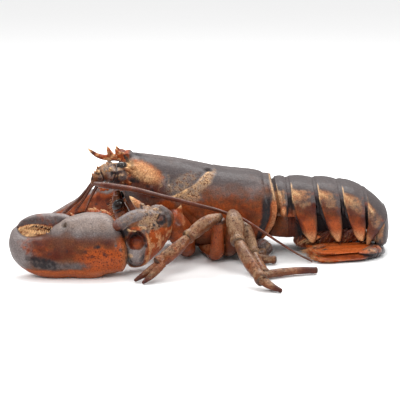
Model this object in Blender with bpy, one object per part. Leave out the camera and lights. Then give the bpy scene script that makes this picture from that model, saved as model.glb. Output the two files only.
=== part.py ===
"""Whole raw lobster lying on its claws and its curled tail, as one named solid for each plate of the shell.

Lengths in this file are millimetres and become metres when a mesh is made. The lobster faces -X, its left side
faces -Y, up is +Z, and the ground is z = 0. The left limbs are described, and the right ones are their mirror.
"""

import math

import bmesh
import bpy
import numpy as np
from mathutils import Vector

MM = 0.001
# The middle of the whole lobster's length on the ground, which becomes the origin.
MIDDLE = Vector((2.6, 0.0, 0.0))
GAP = 0.3
LEFT = 1
RIGHT = -1
SIDE_NAMES = {LEFT: "left", RIGHT: "right"}

# Stations along the carapace: x, top of the back, lower edge, half width.
CARAPACE = [
    (-46.5, 58.4, 37.0, 9.5),
    (-43.0, 60.3, 30.0, 13.0),
    (-36.0, 59.9, 22.0, 17.0),
    (-24.0, 58.4, 13.5, 20.6),
    (-12.0, 56.6, 9.6, 22.6),
    (0.0, 54.2, 8.0, 23.8),
    (12.0, 52.0, 7.8, 24.8),
    (24.0, 50.7, 8.4, 25.2),
    (34.0, 49.4, 9.6, 24.9),
    (40.0, 47.6, 10.6, 24.0),
    (43.0, 46.2, 11.4, 23.4),
]
CARAPACE_RINGS = 17
WIDEST_AT = 0.42
LOWER_EDGE_IN = 0.80
EDGE_WALL = 2.0
UNDERSIDE_RISE = 2.5
REAR_EDGE_BULGE = 3.2
REAR_EDGE_START = 28.0
RIM_WIDTH = 3.2
RIM_HEIGHT = 0.7

# The cervical furrow: x and the angle round the back, from one flank over the top, for the left half.
FURROW = [(-31.0, 0.0), (-24.0, 14.0), (-13.0, 34.0), (-1.0, 60.0), (4.5, 90.0)]
FURROW_RADIUS = 1.5

# Beak between the eyes: x, z, half width, half height.
ROSTRUM = [
    (-36.0, 56.6, 8.0, 2.6),
    (-44.0, 58.8, 6.2, 2.5),
    (-50.0, 59.4, 4.0, 2.4),
    (-57.0, 59.0, 2.7, 2.0),
    (-63.0, 59.4, 1.9, 1.6),
    (-66.0, 61.0, 1.1, 1.0),
    (-68.4, 63.3, 0.4, 0.4),
]
ROSTRUM_SPINES = [(-44.6, 4.6, 3.4), (-49.4, 3.2, 5.0), (-54.6, 2.2, 5.0)]
ROSTRUM_SPINE_BASE = 59.4

# Planes that the tail rings meet in: top x and z, turn of the plane in degrees, half width, depth of the flank
# where two lobes part, and depth of the belly.
TAIL_PLANES = [
    (43.6, 44.2, 0.0, 21.0, 16.0, 28.0),
    (51.8, 44.8, -2.5, 22.0, 17.5, 29.5),
    (67.8, 44.6, -5.5, 22.0, 18.0, 28.0),
    (82.6, 43.6, -6.0, 21.4, 17.5, 26.0),
    (97.8, 40.0, -4.0, 20.6, 16.0, 22.0),
    (113.4, 26.4, 31.0, 19.0, 12.0, 14.0),
    (114.4, 7.4, 80.0, 15.6, 7.0, 8.0),
]
LAST_RING_WIDTH = 15.4
LOBE_DEPTHS = [1.0, 17.0, 16.0, 14.0, 10.5, 0.5]
TAIL_SHARES = (0.0, 0.12, 0.32, 0.5, 0.7, 0.88, 1.0)
TUCK_IN = 1.3
PLATE_BULGE = 1.0
LOBE_EDGE_IN = 0.93
LOBE_WALL = 1.5

# Tail fan plates, root to tip: x, y, z and half width, and how far each one leans outward in degrees.
TELSON = [(111.6, 0.0, 3.6, 7.0), (108.0, 0.0, 2.0, 8.4), (101.0, 0.0, 1.2, 9.2), (80.0, 0.0, 1.0, 9.0),
          (73.0, 0.0, 1.0, 7.0), (70.6, 0.0, 1.0, 4.0)]
UROPODS = {
    "upper": (10.0, [(103.0, -14.6, 6.6, 4.0), (98.0, -17.4, 6.0, 6.4), (85.0, -20.4, 5.7, 8.4),
                     (73.0, -21.8, 5.4, 7.8), (69.4, -22.2, 5.3, 6.2), (67.6, -22.4, 5.2, 3.2)]),
    "lower": (12.0, [(103.0, -16.0, 3.8, 5.0), (98.0, -20.6, 3.1, 8.4), (86.0, -23.6, 2.8, 10.0),
                     (74.0, -25.4, 2.6, 9.0), (70.0, -26.2, 2.6, 7.0), (68.2, -26.8, 2.6, 3.6)]),
}
FAN_ROOT = [(109.0, -15.4, 3.2, 2.6, 2.3), (106.0, -19.4, 3.9, 3.6, 3.3), (101.6, -23.4, 3.9, 4.2, 3.6),
            (97.0, -26.0, 3.2, 3.0, 2.4)]
PLATE_HALF = 0.8
TELSON_FLAT_BELOW = 0.5

# Claws in the plane that each lies in: x, distance up the plane, half height across, half thickness.
CLAW_EDGE = (-68.5, 0.7)
CLAW_LEAN = (0.543, 0.840)
# Sections stand square to X up to this x and turn fully into the claw's curve over the length given next.
CLAW_SQUARE = (-48.0, 20.0)
CRUSHER = {
    "palm": [
        (-42.2, 16.4, 9.0, 5.0), (-43.6, 16.6, 12.4, 8.0), (-47.6, 18.4, 15.4, 10.8), (-54.0, 19.8, 18.2, 12.6),
        (-60.5, 19.8, 19.3, 13.2), (-68.0, 18.8, 18.9, 12.8), (-76.0, 16.6, 17.0, 12.0), (-83.0, 13.4, 13.2, 11.0),
        (-89.0, 13.0, 11.6, 10.0), (-95.0, 14.0, 10.2, 8.8), (-101.0, 17.0, 8.0, 7.0), (-105.0, 22.3, 5.2, 4.8),
        (-106.2, 27.4, 2.6, 2.8), (-105.8, 30.8, 0.7, 0.9),
    ],
    "finger": [
        (-75.5, 32.4, 4.6, 6.5), (-80.0, 33.4, 5.0, 7.0), (-84.0, 33.6, 4.9, 7.2), (-88.0, 34.3, 4.4, 7.0),
        (-93.0, 34.5, 3.9, 6.2), (-98.0, 34.0, 3.0, 4.8), (-102.0, 32.6, 1.8, 3.0), (-104.4, 31.6, 0.7, 1.2),
    ],
    "spines": [(-48.0, 34.0), (-51.6, 36.2), (-55.4, 38.0), (-59.6, 38.9), (-64.0, 38.6)],
    "teeth": [(-81.0, 24.0, 1.2, 1.6), (-85.0, 24.8, 2.8, 3.2), (-92.0, 24.6, 3.3, 3.4), (-98.0, 25.4, 2.8, 2.8),
              (-102.0, 27.6, 1.0, 1.2)],
}
CUTTER = {
    "palm": [
        (-34.0, 23.0, 8.0, 6.0), (-37.5, 22.5, 11.5, 8.0), (-43.0, 20.0, 14.0, 9.5), (-52.0, 17.5, 15.6, 10.5),
        (-60.0, 16.0, 15.2, 10.6), (-66.5, 11.8, 11.6, 9.8), (-72.0, 8.6, 8.4, 8.8), (-78.0, 6.8, 6.6, 7.4),
        (-85.0, 5.2, 5.0, 5.8), (-91.0, 4.2, 3.6, 4.4), (-96.5, 4.0, 2.1, 2.4), (-99.2, 4.4, 0.7, 0.8),
    ],
    "finger": [
        (-64.0, 25.0, 4.4, 6.2), (-70.0, 22.0, 4.9, 6.6), (-77.0, 17.4, 4.2, 5.8), (-84.0, 13.2, 3.4, 4.6),
        (-90.0, 10.2, 2.5, 3.4), (-95.6, 7.8, 1.5, 2.0), (-98.4, 6.9, 0.6, 0.7),
    ],
    "spines": [(-46.0, 31.0), (-52.0, 32.2), (-58.0, 31.0), (-63.0, 28.6)],
    "teeth": [],
}

# Limbs of the left side: x, y, z, half width, half height at each station.
CARPUS = [
    (-18.0, -39.5, 28.5, 5.0, 6.0),
    (-21.6, -42.0, 28.0, 8.6, 9.6),
    (-27.0, -45.8, 25.6, 10.2, 12.6),
    (-33.5, -50.6, 21.2, 10.6, 14.4),
    (-39.8, -54.4, 17.8, 10.2, 15.0),
    (-43.8, -56.6, 16.6, 8.6, 12.8),
]
# Oval opening on the wrist's outer face with the claw's hinge knob in it.
WRIST_SOCKET = [
    (-37.4, -58.6, 29.5, 1.0, 1.0), (-37.2, -61.6, 25.5, 4.4, 3.0), (-36.8, -62.8, 17.5, 5.6, 3.8),
    (-36.4, -61.6, 9.5, 4.4, 3.4), (-36.2, -58.8, 5.0, 1.2, 1.2),
]
WRIST_KNOB = [(-37.4, -58.6, 19.5, 1.4, 1.4), (-37.2, -59.2, 16.4, 3.8, 3.0), (-37.0, -59.4, 12.0, 4.2, 3.2),
              (-36.6, -58.6, 8.0, 2.0, 1.8)]
ARM = [
    (-7.0, -11.0, 5.0, 4.2, 4.2),
    (-7.6, -20.0, 5.6, 4.8, 4.8),
    (-9.0, -29.0, 11.0, 6.0, 6.6),
    (-12.5, -36.0, 21.0, 7.2, 9.0),
    (-18.5, -39.5, 27.6, 6.4, 8.0),
]
WRIST_SPINES = [((-31.0, -43.0, 33.0), (-41.4, -40.5, 42.4), 3.2), ((-23.0, -45.0, 22.5), (-25.0, -52.8, 15.6), 3.0)]
ARM_SPINES = [((-13.5, -35.5, 28.0), (-10.8, -36.0, 36.4), 2.8)]
LEGS = {
    2: {
        "merus": [(2.0, -12.5, 6.0, 3.4, 3.6), (6.0, -22.0, 5.0, 3.4, 3.8), (9.8, -33.0, 6.4, 3.8, 4.4),
                  (10.2, -38.0, 16.0, 3.8, 3.8), (11.0, -43.6, 29.0, 3.0, 3.4)],
        "wrist": [(12.0, -44.5, 31.2, 2.4, 2.2), (6.0, -48.0, 29.4, 3.9, 3.7), (-7.5, -58.0, 21.6, 3.4, 3.9)],
        "hand": [(-6.5, -58.0, 22.0, 2.6, 2.8), (-14.0, -64.0, 16.2, 3.4, 4.0), (-24.0, -71.0, 9.6, 3.0, 4.0)],
        "fingers": [[(-22.0, -69.0, 10.6, 2.4, 2.2), (-30.0, -73.4, 5.2, 2.1, 2.0), (-36.4, -76.4, 1.6, 0.9, 1.0)],
                    [(-21.0, -72.0, 10.0, 2.4, 2.2), (-27.0, -77.0, 4.8, 2.1, 2.0), (-31.8, -80.6, 1.4, 0.9, 1.0)]],
    },
    3: {
        "merus": [(12.6, -13.0, 6.0, 3.5, 3.6), (15.4, -21.0, 5.4, 3.4, 3.8), (18.4, -29.5, 7.6, 3.5, 4.2),
                  (19.0, -37.0, 18.6, 3.5, 3.8), (19.2, -45.6, 31.8, 3.0, 3.4)],
        "wrist": [(18.8, -46.6, 34.2, 2.8, 2.4), (19.4, -51.0, 32.2, 4.3, 4.0), (21.6, -65.6, 20.6, 3.7, 4.1)],
        "hand": [(21.4, -64.4, 21.6, 2.8, 2.9), (25.0, -73.0, 16.2, 3.6, 4.0), (34.4, -91.6, 5.6, 3.2, 3.8)],
        "fingers": [[(32.0, -89.6, 6.8, 2.5, 2.4), (38.6, -93.8, 3.4, 2.3, 2.1), (44.6, -97.0, 1.4, 1.2, 1.2)],
                    [(33.6, -88.0, 6.6, 2.2, 2.2), (39.0, -90.6, 3.0, 1.8, 1.8), (43.6, -92.6, 1.2, 0.9, 0.9)]],
    },
    4: {
        "merus": [(24.0, -13.0, 6.2, 3.2, 3.5), (25.6, -21.0, 5.6, 3.2, 3.6), (27.0, -29.0, 9.2, 3.2, 3.8),
                  (26.4, -34.8, 23.4, 2.8, 2.8)],
        "wrist": [(26.0, -34.8, 25.6, 2.4, 2.2), (27.0, -39.0, 22.4, 3.3, 3.4), (31.4, -51.6, 10.4, 3.2, 3.5)],
        "hand": [(31.0, -50.6, 11.0, 2.6, 2.8), (33.4, -59.0, 6.6, 3.2, 3.2), (37.0, -69.4, 3.2, 3.0, 2.8)],
        "fingers": [[(35.6, -70.4, 3.0, 2.4, 2.4), (43.0, -66.4, 3.0, 2.6, 2.4), (58.0, -60.0, 2.8, 2.3, 2.1),
                     (67.0, -58.0, 2.4, 1.9, 1.9)]],
    },
    5: {
        "merus": [(33.0, -13.0, 7.4, 3.6, 3.8), (37.0, -20.4, 7.4, 4.4, 4.6), (39.0, -26.0, 6.4, 4.2, 4.4)],
        "wrist": [(39.0, -25.4, 5.4, 2.4, 2.6), (32.0, -28.6, 4.2, 3.0, 3.2), (27.4, -31.0, 3.8, 2.4, 2.8)],
        "hand": [(27.4, -32.0, 3.6, 2.2, 2.4), (34.0, -35.4, 3.4, 2.6, 2.7), (44.6, -37.4, 3.0, 1.8, 2.0)],
    },
}
EYE = (-48.2, -9.2, 53.6)
EYE_STALK = [(4.5, 0.72, -0.6, 1.6, 1.6), (1.5, 0.9, -0.2, 1.9, 1.9), (0.0, 1.0, 0.0, 2.5, 2.6),
             (-1.6, 1.12, 0.1, 1.9, 2.0), (-2.3, 1.18, 0.1, 0.7, 0.7)]
PEDUNCLE = [
    (-43.0, -10.0, 45.0, 4.6, 5.6),
    (-48.0, -12.5, 46.4, 5.4, 6.0),
    (-53.6, -14.0, 48.6, 5.2, 5.2),
    (-58.6, -15.4, 48.4, 4.4, 4.4),
    (-62.6, -16.6, 45.4, 3.0, 3.0),
    (-63.8, -17.0, 43.6, 1.8, 1.8),
]
SCALE = [(-50.0, -16.0, 50.6, 1.2, 3.4), (-54.0, -17.4, 53.4, 1.1, 3.0), (-56.6, -17.8, 57.6, 0.4, 0.7)]
WHIP_LEFT = [
    (-62.6, -20.4, 45.4, 1.3), (-58.0, -25.0, 45.6, 1.7), (-41.0, -31.0, 44.6, 1.7), (-23.0, -36.0, 41.4, 1.35),
    (0.0, -39.0, 36.2, 1.1), (10.0, -38.0, 33.4, 1.0), (18.0, -37.8, 30.6, 0.9), (23.0, -38.8, 29.2, 0.9),
    (30.0, -42.0, 25.8, 0.85), (41.0, -40.0, 18.0, 0.75),
    (58.6, -34.0, 5.4, 0.6), (66.4, -33.4, 1.2, 0.5),
]
WHIP_RIGHT = [
    (-64.6, 15.6, 41.6, 1.3), (-68.4, 14.0, 36.0, 1.35), (-75.0, 12.0, 28.6, 1.3), (-83.0, 10.0, 21.6, 1.2),
    (-90.0, 7.0, 15.0, 1.1), (-94.0, 3.0, 9.6, 1.0), (-94.0, -3.0, 5.0, 0.9), (-89.0, -9.0, 2.4, 0.8),
    (-79.0, -11.0, 1.3, 0.65), (-66.0, -8.0, 1.2, 0.5),
]
ANTENNULE = [(-49.0, -3.6, 52.6, 2.0), (-54.4, -4.6, 52.6, 1.8), (-58.0, -5.4, 50.4, 1.4)]
ANTENNULE_WHIPS = [
    [(-57.0, -5.0, 51.0, 0.9), (-64.0, -6.4, 42.0, 0.9), (-70.0, -6.0, 33.0, 0.8), (-76.6, -5.4, 23.0, 0.5)],
    [(-57.0, -5.6, 50.6, 0.9), (-62.0, -9.0, 41.0, 0.9), (-66.4, -10.4, 33.0, 0.8), (-70.0, -12.0, 24.0, 0.5)],
]
JAW_LEG = [
    (-30.0, -8.4, 11.6, 3.6, 3.8), (-38.0, -8.2, 15.4, 3.8, 4.4), (-46.0, -8.0, 21.4, 3.4, 4.2),
    (-50.0, -7.6, 28.4, 2.8, 3.2), (-51.0, -7.2, 35.0, 1.6, 1.8),
]
BREAST = [
    (-44.0, 0.0, 32.0, 7.0, 3.0), (-38.0, 0.0, 23.6, 8.0, 4.0), (-27.0, 0.0, 13.6, 9.0, 3.8),
    (-12.0, 0.0, 8.0, 9.6, 3.4), (4.0, 0.0, 6.4, 10.6, 3.4), (20.0, 0.0, 6.4, 11.0, 3.4), (38.0, 0.0, 8.6, 10.0, 3.2),
]
# Each swimmeret's x and top, how it leans, and its size against the rows below: ahead, down, half width.
SWIMMERETS = {2: (57.8, 14.4, -0.45, 1.12), 3: (77.4, 15.6, 1.0, 0.82), 4: (91.6, 16.4, 1.0, 0.84)}
SWIMMERET = [(0.0, 0.0, 1.6), (-1.2, 2.4, 3.6), (-2.8, 5.0, 5.0), (-4.6, 7.8, 3.6), (-5.4, 9.4, 2.0)]

COLOURS = {
    "shell_back": (0.16, 0.10, 0.08),
    "shell_claw": (0.30, 0.12, 0.06),
    "shell_leg": (0.33, 0.17, 0.08),
    "shell_fan": (0.45, 0.14, 0.04),
    "whip": (0.20, 0.06, 0.04),
    "underside": (0.35, 0.20, 0.13),
    "eye": (0.01, 0.01, 0.01),
}


def material(slot):
    """A glossy shell material for one slot."""
    found = bpy.data.materials.get(slot)
    if found:
        return found
    made = bpy.data.materials.new(slot)
    made.use_nodes = True
    shader = made.node_tree.nodes["Principled BSDF"]
    shader.inputs["Base Color"].default_value = (*COLOURS[slot], 1.0)
    shader.inputs["Roughness"].default_value = 0.3
    made.diffuse_color = (*COLOURS[slot], 1.0)
    return made


def smooth_rows(rows, count, near_ends=False):
    """A smooth curve through rows whose first three numbers are a place, read again at count even steps."""
    rows = np.array(rows, float)
    steps = np.linalg.norm(np.diff(rows[:, :3], axis=0), axis=1)
    at = np.concatenate([[0.0], np.cumsum(steps)])
    slope = np.gradient(rows, at, axis=0)
    share = np.linspace(0.0, 1.0, count)
    if near_ends:
        share = 0.5 - 0.5 * np.cos(math.pi * share)
    t = share * at[-1]
    k = np.clip(np.searchsorted(at, t, side="right") - 1, 0, len(at) - 2)
    h = (at[k + 1] - at[k])[:, None]
    s = (t - at[k])[:, None] / h
    return (
        (2 * s**3 - 3 * s**2 + 1) * rows[k]
        + (s**3 - 2 * s**2 + s) * h * slope[k]
        + (3 * s**2 - 2 * s**3) * rows[k + 1]
        + (s**3 - s**2) * h * slope[k + 1]
    )


def unit(v):
    return v / np.linalg.norm(v)


def frames(path, up, square=None):
    """Side and up directions at each point of a path, turned as little as possible from one to the next."""
    tangents = np.gradient(path, axis=0)
    if square:
        tangents[:, 1:] *= np.clip((square[0] - path[:, :1]) / square[1], 0.0, 1.0)
    up = np.array(up, float)
    sides, ups = [], []
    for tangent in tangents:
        tangent = unit(tangent)
        up = unit(up - tangent * np.dot(up, tangent))
        sides.append(np.cross(tangent, up))
        ups.append(up)
    return np.array(sides), np.array(ups)


def oval(sides, power=2.0):
    """Unit outline of a rounded section, anticlockwise seen from the path's end."""
    angles = np.arange(sides) * 2 * math.pi / sides
    c, s = np.cos(angles), np.sin(angles)
    return np.sign(c) * np.abs(c) ** (2 / power), np.sign(s) * np.abs(s) ** (2 / power)


def limb_rings(rows, rings, sides, up, power=2.0, grow=0.0, square=None):
    """Rings of an oval tube whose rows hold x, y, z, half width and half height."""
    rows = smooth_rows(rows, rings, near_ends=True)
    path = rows[:, :3]
    across, above = frames(path, up, square)
    if grow:
        path[0] -= unit(path[1] - path[0]) * grow
        path[-1] += unit(path[-1] - path[-2]) * grow
    ring_c, ring_s = oval(sides, power)
    return [
        path[i] + np.outer(ring_c * (rows[i, 3] + grow), across[i]) + np.outer(ring_s * (rows[i, 4] + grow), above[i])
        for i in range(rings)
    ]


def set_down(rings, reach, grow=0.0):
    """Rings with every point lower than reach pressed flat onto the ground."""
    for ring in rings:
        ring[:, 2] = np.where(ring[:, 2] < reach, -grow, ring[:, 2])
    return rings


def mesh_object(name, points, faces, slot):
    """An object from points in millimetres, with its faces turned outward."""
    mesh = bpy.data.meshes.new(name)
    mesh.from_pydata([(Vector(p) - MIDDLE) * MM for p in points], [], faces)
    made = bmesh.new()
    made.from_mesh(mesh)
    bmesh.ops.recalc_face_normals(made, faces=made.faces)
    made.to_mesh(mesh)
    made.free()
    mesh.materials.append(material(slot))
    obj = bpy.data.objects.new(name, mesh)
    bpy.context.scene.collection.objects.link(obj)
    return obj


def lofted(name, rings, slot):
    """A closed solid through rings of equal point counts, with a face over each end."""
    points = [p for ring in rings for p in ring]
    n = len(rings[0])
    faces = [
        (i * n + j, i * n + (j + 1) % n, (i + 1) * n + (j + 1) % n, (i + 1) * n + j)
        for i in range(len(rings) - 1)
        for j in range(n)
    ]
    faces.append(tuple(range(n)))
    faces.append(tuple(range((len(rings) - 1) * n, len(rings) * n)))
    obj = mesh_object(name, points, faces, slot)
    obj.data.shade_smooth()
    obj.data.set_sharp_from_angle(angle=math.radians(50))
    return obj


def mirrored(rows, side):
    """Rows of the left side, or the same rows across the body's middle for the right side."""
    return [(row[0], row[1] * side, *row[2:]) for row in rows]


def helper(obj):
    """Marks an object as a cutter or a piece to be joined, which isn't a part itself."""
    obj.hide_render = True
    obj.display_type = "WIRE"
    return obj


def boolean(obj, other, operation):
    """Applies one Boolean and removes the other object."""
    modifier = obj.modifiers.new(operation.lower(), "BOOLEAN")
    modifier.operation = operation
    modifier.object = other
    graph = bpy.context.evaluated_depsgraph_get()
    mesh = bpy.data.meshes.new_from_object(obj.evaluated_get(graph))
    obj.modifiers.clear()
    obj.data = mesh
    bpy.data.objects.remove(other)
    return obj


def join(obj, other):
    return boolean(obj, helper(other), "UNION")


def cut(obj, other):
    return boolean(obj, helper(other), "DIFFERENCE")


def spine(base, tip, radius, slot, sides=6):
    """A cone from a base point to a sharp tip, curved by nothing."""
    base, tip = np.array(base, float), np.array(tip, float)
    along = unit(tip - base)
    helper_up = (0.0, 1.0, 0.0) if abs(along[1]) < 0.8 else (1.0, 0.0, 0.0)
    across = unit(np.cross(along, helper_up))
    above = np.cross(across, along)
    c, s = oval(sides)
    ring = base + np.outer(c * radius, across) + np.outer(s * radius, above)
    points = [*ring, tip]
    faces = [(j, (j + 1) % sides, sides) for j in range(sides)]
    faces.append(tuple(range(sides)))
    return mesh_object("spine", points, faces, slot)


def limb(name, rows, slot, up=(0.0, 0.0, 1.0), rings=7, sides=8, power=2.0, grow=0.0):
    return lofted(name, limb_rings(rows, rings, sides, up, power, grow), slot)


def arch(half_width, top, widest, low, belly, edge_in, wall, arc_steps, side_steps):
    """Outline y, z of a body ring: an arched back, flanks that curve in to two edges, and the underside."""
    edge = half_width * edge_in
    back = [
        (half_width * math.copysign(abs(math.cos(a)) ** 0.92, math.cos(a)), widest + (top - widest) * math.sin(a) ** 0.92)
        for a in (math.pi * k / arc_steps for k in range(arc_steps + 1))
    ]
    flank = [
        (edge + (half_width - edge) * math.cos(b), widest - (widest - low) * math.sin(b) ** 1.15)
        for b in (0.5 * math.pi * k / side_steps for k in range(1, side_steps + 1))
    ]
    left_flank = [(-y, z) for y, z in flank]
    inner = edge - wall
    under = [(-inner, low + 0.1 * (belly - low)), (-inner * 0.92, belly), (inner * 0.92, belly)]
    under.append((inner, low + 0.1 * (belly - low)))
    return back + left_flank + under + flank[::-1]


def carapace_values(x):
    """Top, lower edge and half width at one x."""
    at = [row[0] for row in CARAPACE]
    return tuple(float(np.interp(x, at, [row[k] for row in CARAPACE])) for k in (1, 2, 3))


def rear_edge_shift(z):
    """How far the carapace's rear edge stands behind a straight edge at one height."""
    _, top, low, _ = CARAPACE[-1]
    height = min(1.0, max(0.0, (z - low) / (top - low)))
    return REAR_EDGE_BULGE * (math.sin(math.pi * height**0.9) - 1.7 * (1.0 - height) ** 4)


def carapace_rings(grow=0.0):
    """Rings of the carapace, whose rear edge bulges back at mid height and carries a raised rim."""
    rows = smooth_rows([(x, 0.0, top, low, width) for x, top, low, width in CARAPACE], CARAPACE_RINGS, near_ends=True)
    rear = rows[-1, 0]
    rings = []
    for x, _, top, low, width in rows:
        rim = RIM_HEIGHT * max(0.0, 1.0 - (rear - x) / RIM_WIDTH)
        widest = low + WIDEST_AT * (top - low)
        belly = low + UNDERSIDE_RISE - 2.0 * grow
        wall = EDGE_WALL + 2.0 * grow
        outline = arch(width + rim + grow, top + rim + grow, widest, low - grow, belly, LOWER_EDGE_IN, wall, 12, 4)
        back = max(0.0, (x - REAR_EDGE_START) / (rear - REAR_EDGE_START))
        ring = []
        for y, z in outline:
            ring.append((x + back * rear_edge_shift(z), y, z))
        rings.append(np.array(ring))
    if grow:
        rings[0][:, 0] -= grow
        rings[-1][:, 0] += grow
    return rings


def carapace():
    body = lofted("carapace", carapace_rings(), "shell_back")
    beak = lofted("beak", limb_rings([(x, 0.0, z, w, h) for x, z, w, h in ROSTRUM], 10, 8, (0, 0, 1)), "shell_back")
    for side in (LEFT, RIGHT):
        for x, out, tall in ROSTRUM_SPINES:
            base = (x, -side * (out - 1.0), ROSTRUM_SPINE_BASE)
            tip = (x - 1.4, -side * (out + 1.2), ROSTRUM_SPINE_BASE + tall)
            beak = join(beak, spine(base, tip, 1.3, "shell_back"))
    body = join(body, beak)
    groove = [furrow_point(x, angle, LEFT) for x, angle in FURROW]
    groove += [furrow_point(x, angle, RIGHT) for x, angle in FURROW[-2::-1]]
    return cut(body, limb("groove", [(*p, FURROW_RADIUS, FURROW_RADIUS) for p in groove], "shell_back", (-1, 0, 0.2), 15, 6))


def furrow_point(x, angle, side):
    """A point of the furrow's line on the back, at an angle above the widest height."""
    top, low, width = carapace_values(x)
    widest = low + WIDEST_AT * (top - low)
    a = math.radians(angle)
    out = math.cos(a) ** 0.92 if angle < 90 else 0.0
    return (x, -side * (width + 0.4) * out, widest + (top + 0.4 - widest) * math.sin(a) ** 0.92)


def lobe_drop(share, depth):
    """How far the side lobe of a tail ring hangs, from the ring's front at 0 to its back at 1."""
    t = min(1.0, max(0.0, (share - 0.12) / 0.74))
    return 0.5 + (depth - 0.5) * t * t * (3 - 2 * t) * (1.0 - 0.3 * max(0.0, share - 0.88) / 0.12)


def tail_ring(index):
    """One ring of the tail, whose front stands lower than the back edge of the plate before it."""
    front, rear = np.array(TAIL_PLANES[index]), np.array(TAIL_PLANES[index + 1])
    if index == len(LOBE_DEPTHS) - 1:
        front[3] = LAST_RING_WIDTH
    along = unit((rear - front)[:2])
    rings = []
    for share in TAIL_SHARES:
        x, z, turn, width, flank, belly = front + (rear - front) * share
        turn = math.radians(turn)
        rise = PLATE_BULGE * math.sin(math.pi * share) - TUCK_IN * max(0.0, 1.0 - share * 8)
        low = -flank - lobe_drop(share, LOBE_DEPTHS[index])
        outline = arch(width + rise, rise, -0.58 * belly, low, -belly, LOBE_EDGE_IN, LOBE_WALL, 10, 3)
        if share == 0.0:
            x, z = x + GAP * along[0], z + GAP * along[1]
        ring = np.array([(x + h * math.sin(turn), y, z + h * math.cos(turn)) for y, h in outline])
        if index == 0:
            ring[:, 0] += (1.0 - share) * np.array([rear_edge_shift(point[2]) for point in ring])
        rings.append(ring)
    return lofted("tail_ring_%d" % (index + 1), rings, "shell_back")


def fan_plate(name, rows, lean, side, grow=0.0):
    """A flat rounded plate of the tail fan that runs forward along the ground from its root."""
    rows = [(x, y * side, z, half_width, PLATE_HALF) for x, y, z, half_width in rows]
    up = (0.0, -side * math.sin(math.radians(lean)), math.cos(math.radians(lean)))
    rings = limb_rings(rows, 8, 8, up, 2.4, grow)
    return lofted(name, set_down(rings, TELSON_FLAT_BELOW, grow) if lean == 0.0 else rings, "shell_fan")


def uropod(which, side, grow=0.0):
    lean, rows = UROPODS[which]
    return fan_plate("fan_%s_%s" % (which, SIDE_NAMES[side]), rows, lean, side, grow)


def on_claw(x, up, out=0.0, side=LEFT):
    """The place of a point given in the claw's own plane, with out the distance off that plane."""
    y = CLAW_EDGE[0] + CLAW_LEAN[0] * up - CLAW_LEAN[1] * out
    z = CLAW_EDGE[1] + CLAW_LEAN[1] * up + CLAW_LEAN[0] * out
    return (x, y * side, z)


def claw_piece(name, rows, side, rings, sides, power, grow=0.0):
    """One half of a claw, lofted through rows given in the claw's plane."""
    placed = [(*on_claw(x, up, 0.0, side), thick, high) for x, up, high, thick in rows]
    made = limb_rings(placed, rings, sides, (0.0, CLAW_LEAN[0] * side, CLAW_LEAN[1]), power, grow, CLAW_SQUARE)
    return lofted(name, set_down(made, 0.0, grow), "shell_claw")


def claw_set(side, kind):
    """Palm with its fixed finger, moving finger, wrist piece and arm of one side."""
    name = "claw_%s_" % SIDE_NAMES[side]

    def palm_piece(grow=0.0):
        return claw_piece(name + "palm", kind["palm"], side, 17, 14, 2.3, grow)

    palm = palm_piece()
    for x, up in kind["spines"]:
        palm = join(palm, spine(on_claw(x, up - 3.0, 0.0, side), on_claw(x - 1.6, up + 2.2, 0.0, side), 1.8, "shell_claw"))
    if kind["teeth"]:
        palm = join(palm, claw_piece("teeth", kind["teeth"], side, 6, 8, 2.0))
    finger = cut(claw_piece(name + "finger", kind["finger"], side, 10, 12, 2.2), palm_piece(GAP))
    wrist_rows, arm_rows = mirrored(CARPUS, side), mirrored(ARM, side)
    wrist = limb(name + "wrist", wrist_rows, "shell_claw", rings=9, sides=12, power=2.2)
    arm = limb(name + "arm", arm_rows, "shell_claw", rings=8, sides=10, power=2.2)
    for base, tip, radius in WRIST_SPINES:
        wrist = join(wrist, spine(*mirrored([base, tip], side), radius, "shell_claw"))
    for base, tip, radius in ARM_SPINES:
        arm = join(arm, spine(*mirrored([base, tip], side), radius, "shell_claw"))
    cut(wrist, limb("socket", mirrored(WRIST_SOCKET, side), "shell_claw", (0, -1, 0), 6, 8))
    wrist = join(wrist, limb("knob", mirrored(WRIST_KNOB, side), "shell_claw", (0, -1, 0), 5, 8))
    cut(wrist, palm_piece(GAP))
    cut(arm, limb("space", wrist_rows, "shell_claw", rings=9, sides=12, power=2.2, grow=GAP))
    cut(arm, breast(GAP))
    cut(arm, carapace_space())
    return palm, finger, wrist, arm


def leg_piece(number, part, side, grow=0.0, name="space"):
    rows = mirrored(LEGS[number][part], side)
    up = (1.0, 0.0, 0.1) if part == "merus" else (0.0, 0.0, 1.0)
    return limb(name, rows, "shell_leg", up, 8 if part == "merus" else 6, 8, grow=grow)


def leg(number, side):
    """One walking leg: upper piece, wrist piece and hand, with its pincer or its long toe."""
    name = "leg_%s_%d_" % (SIDE_NAMES[side], number)
    merus, wrist, hand = (leg_piece(number, part, side, name=name + part) for part in ("merus", "wrist", "hand"))
    for rows in LEGS[number].get("fingers", []):
        hand = join(hand, limb("finger", mirrored(rows, side), "shell_leg", rings=4, sides=6))
    cut(wrist, leg_piece(number, "merus", side, GAP))
    cut(hand, leg_piece(number, "wrist", side, GAP))
    cut(merus, breast(GAP))
    cut(merus, carapace_space())
    return merus, wrist, hand


def carapace_space():
    return lofted("space", carapace_rings(GAP), "shell_back")


def breast(grow=0.0):
    return limb("breast", BREAST, "underside", rings=9, sides=12, power=2.6, grow=grow)


def whip(name, rows, rings, sides=6, slot="whip"):
    return limb(name, [(x, y, z, r, r) for x, y, z, r in rows], slot, rings=rings, sides=sides)


def eye(side, grow=0.0):
    x, y, z = EYE
    rows = [(x + dx, y * share, z + dz, wide, high) for dx, share, dz, wide, high in EYE_STALK]
    return limb("eye_%s" % SIDE_NAMES[side], mirrored(rows, side), "eye", rings=8, sides=10, grow=grow)


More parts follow.
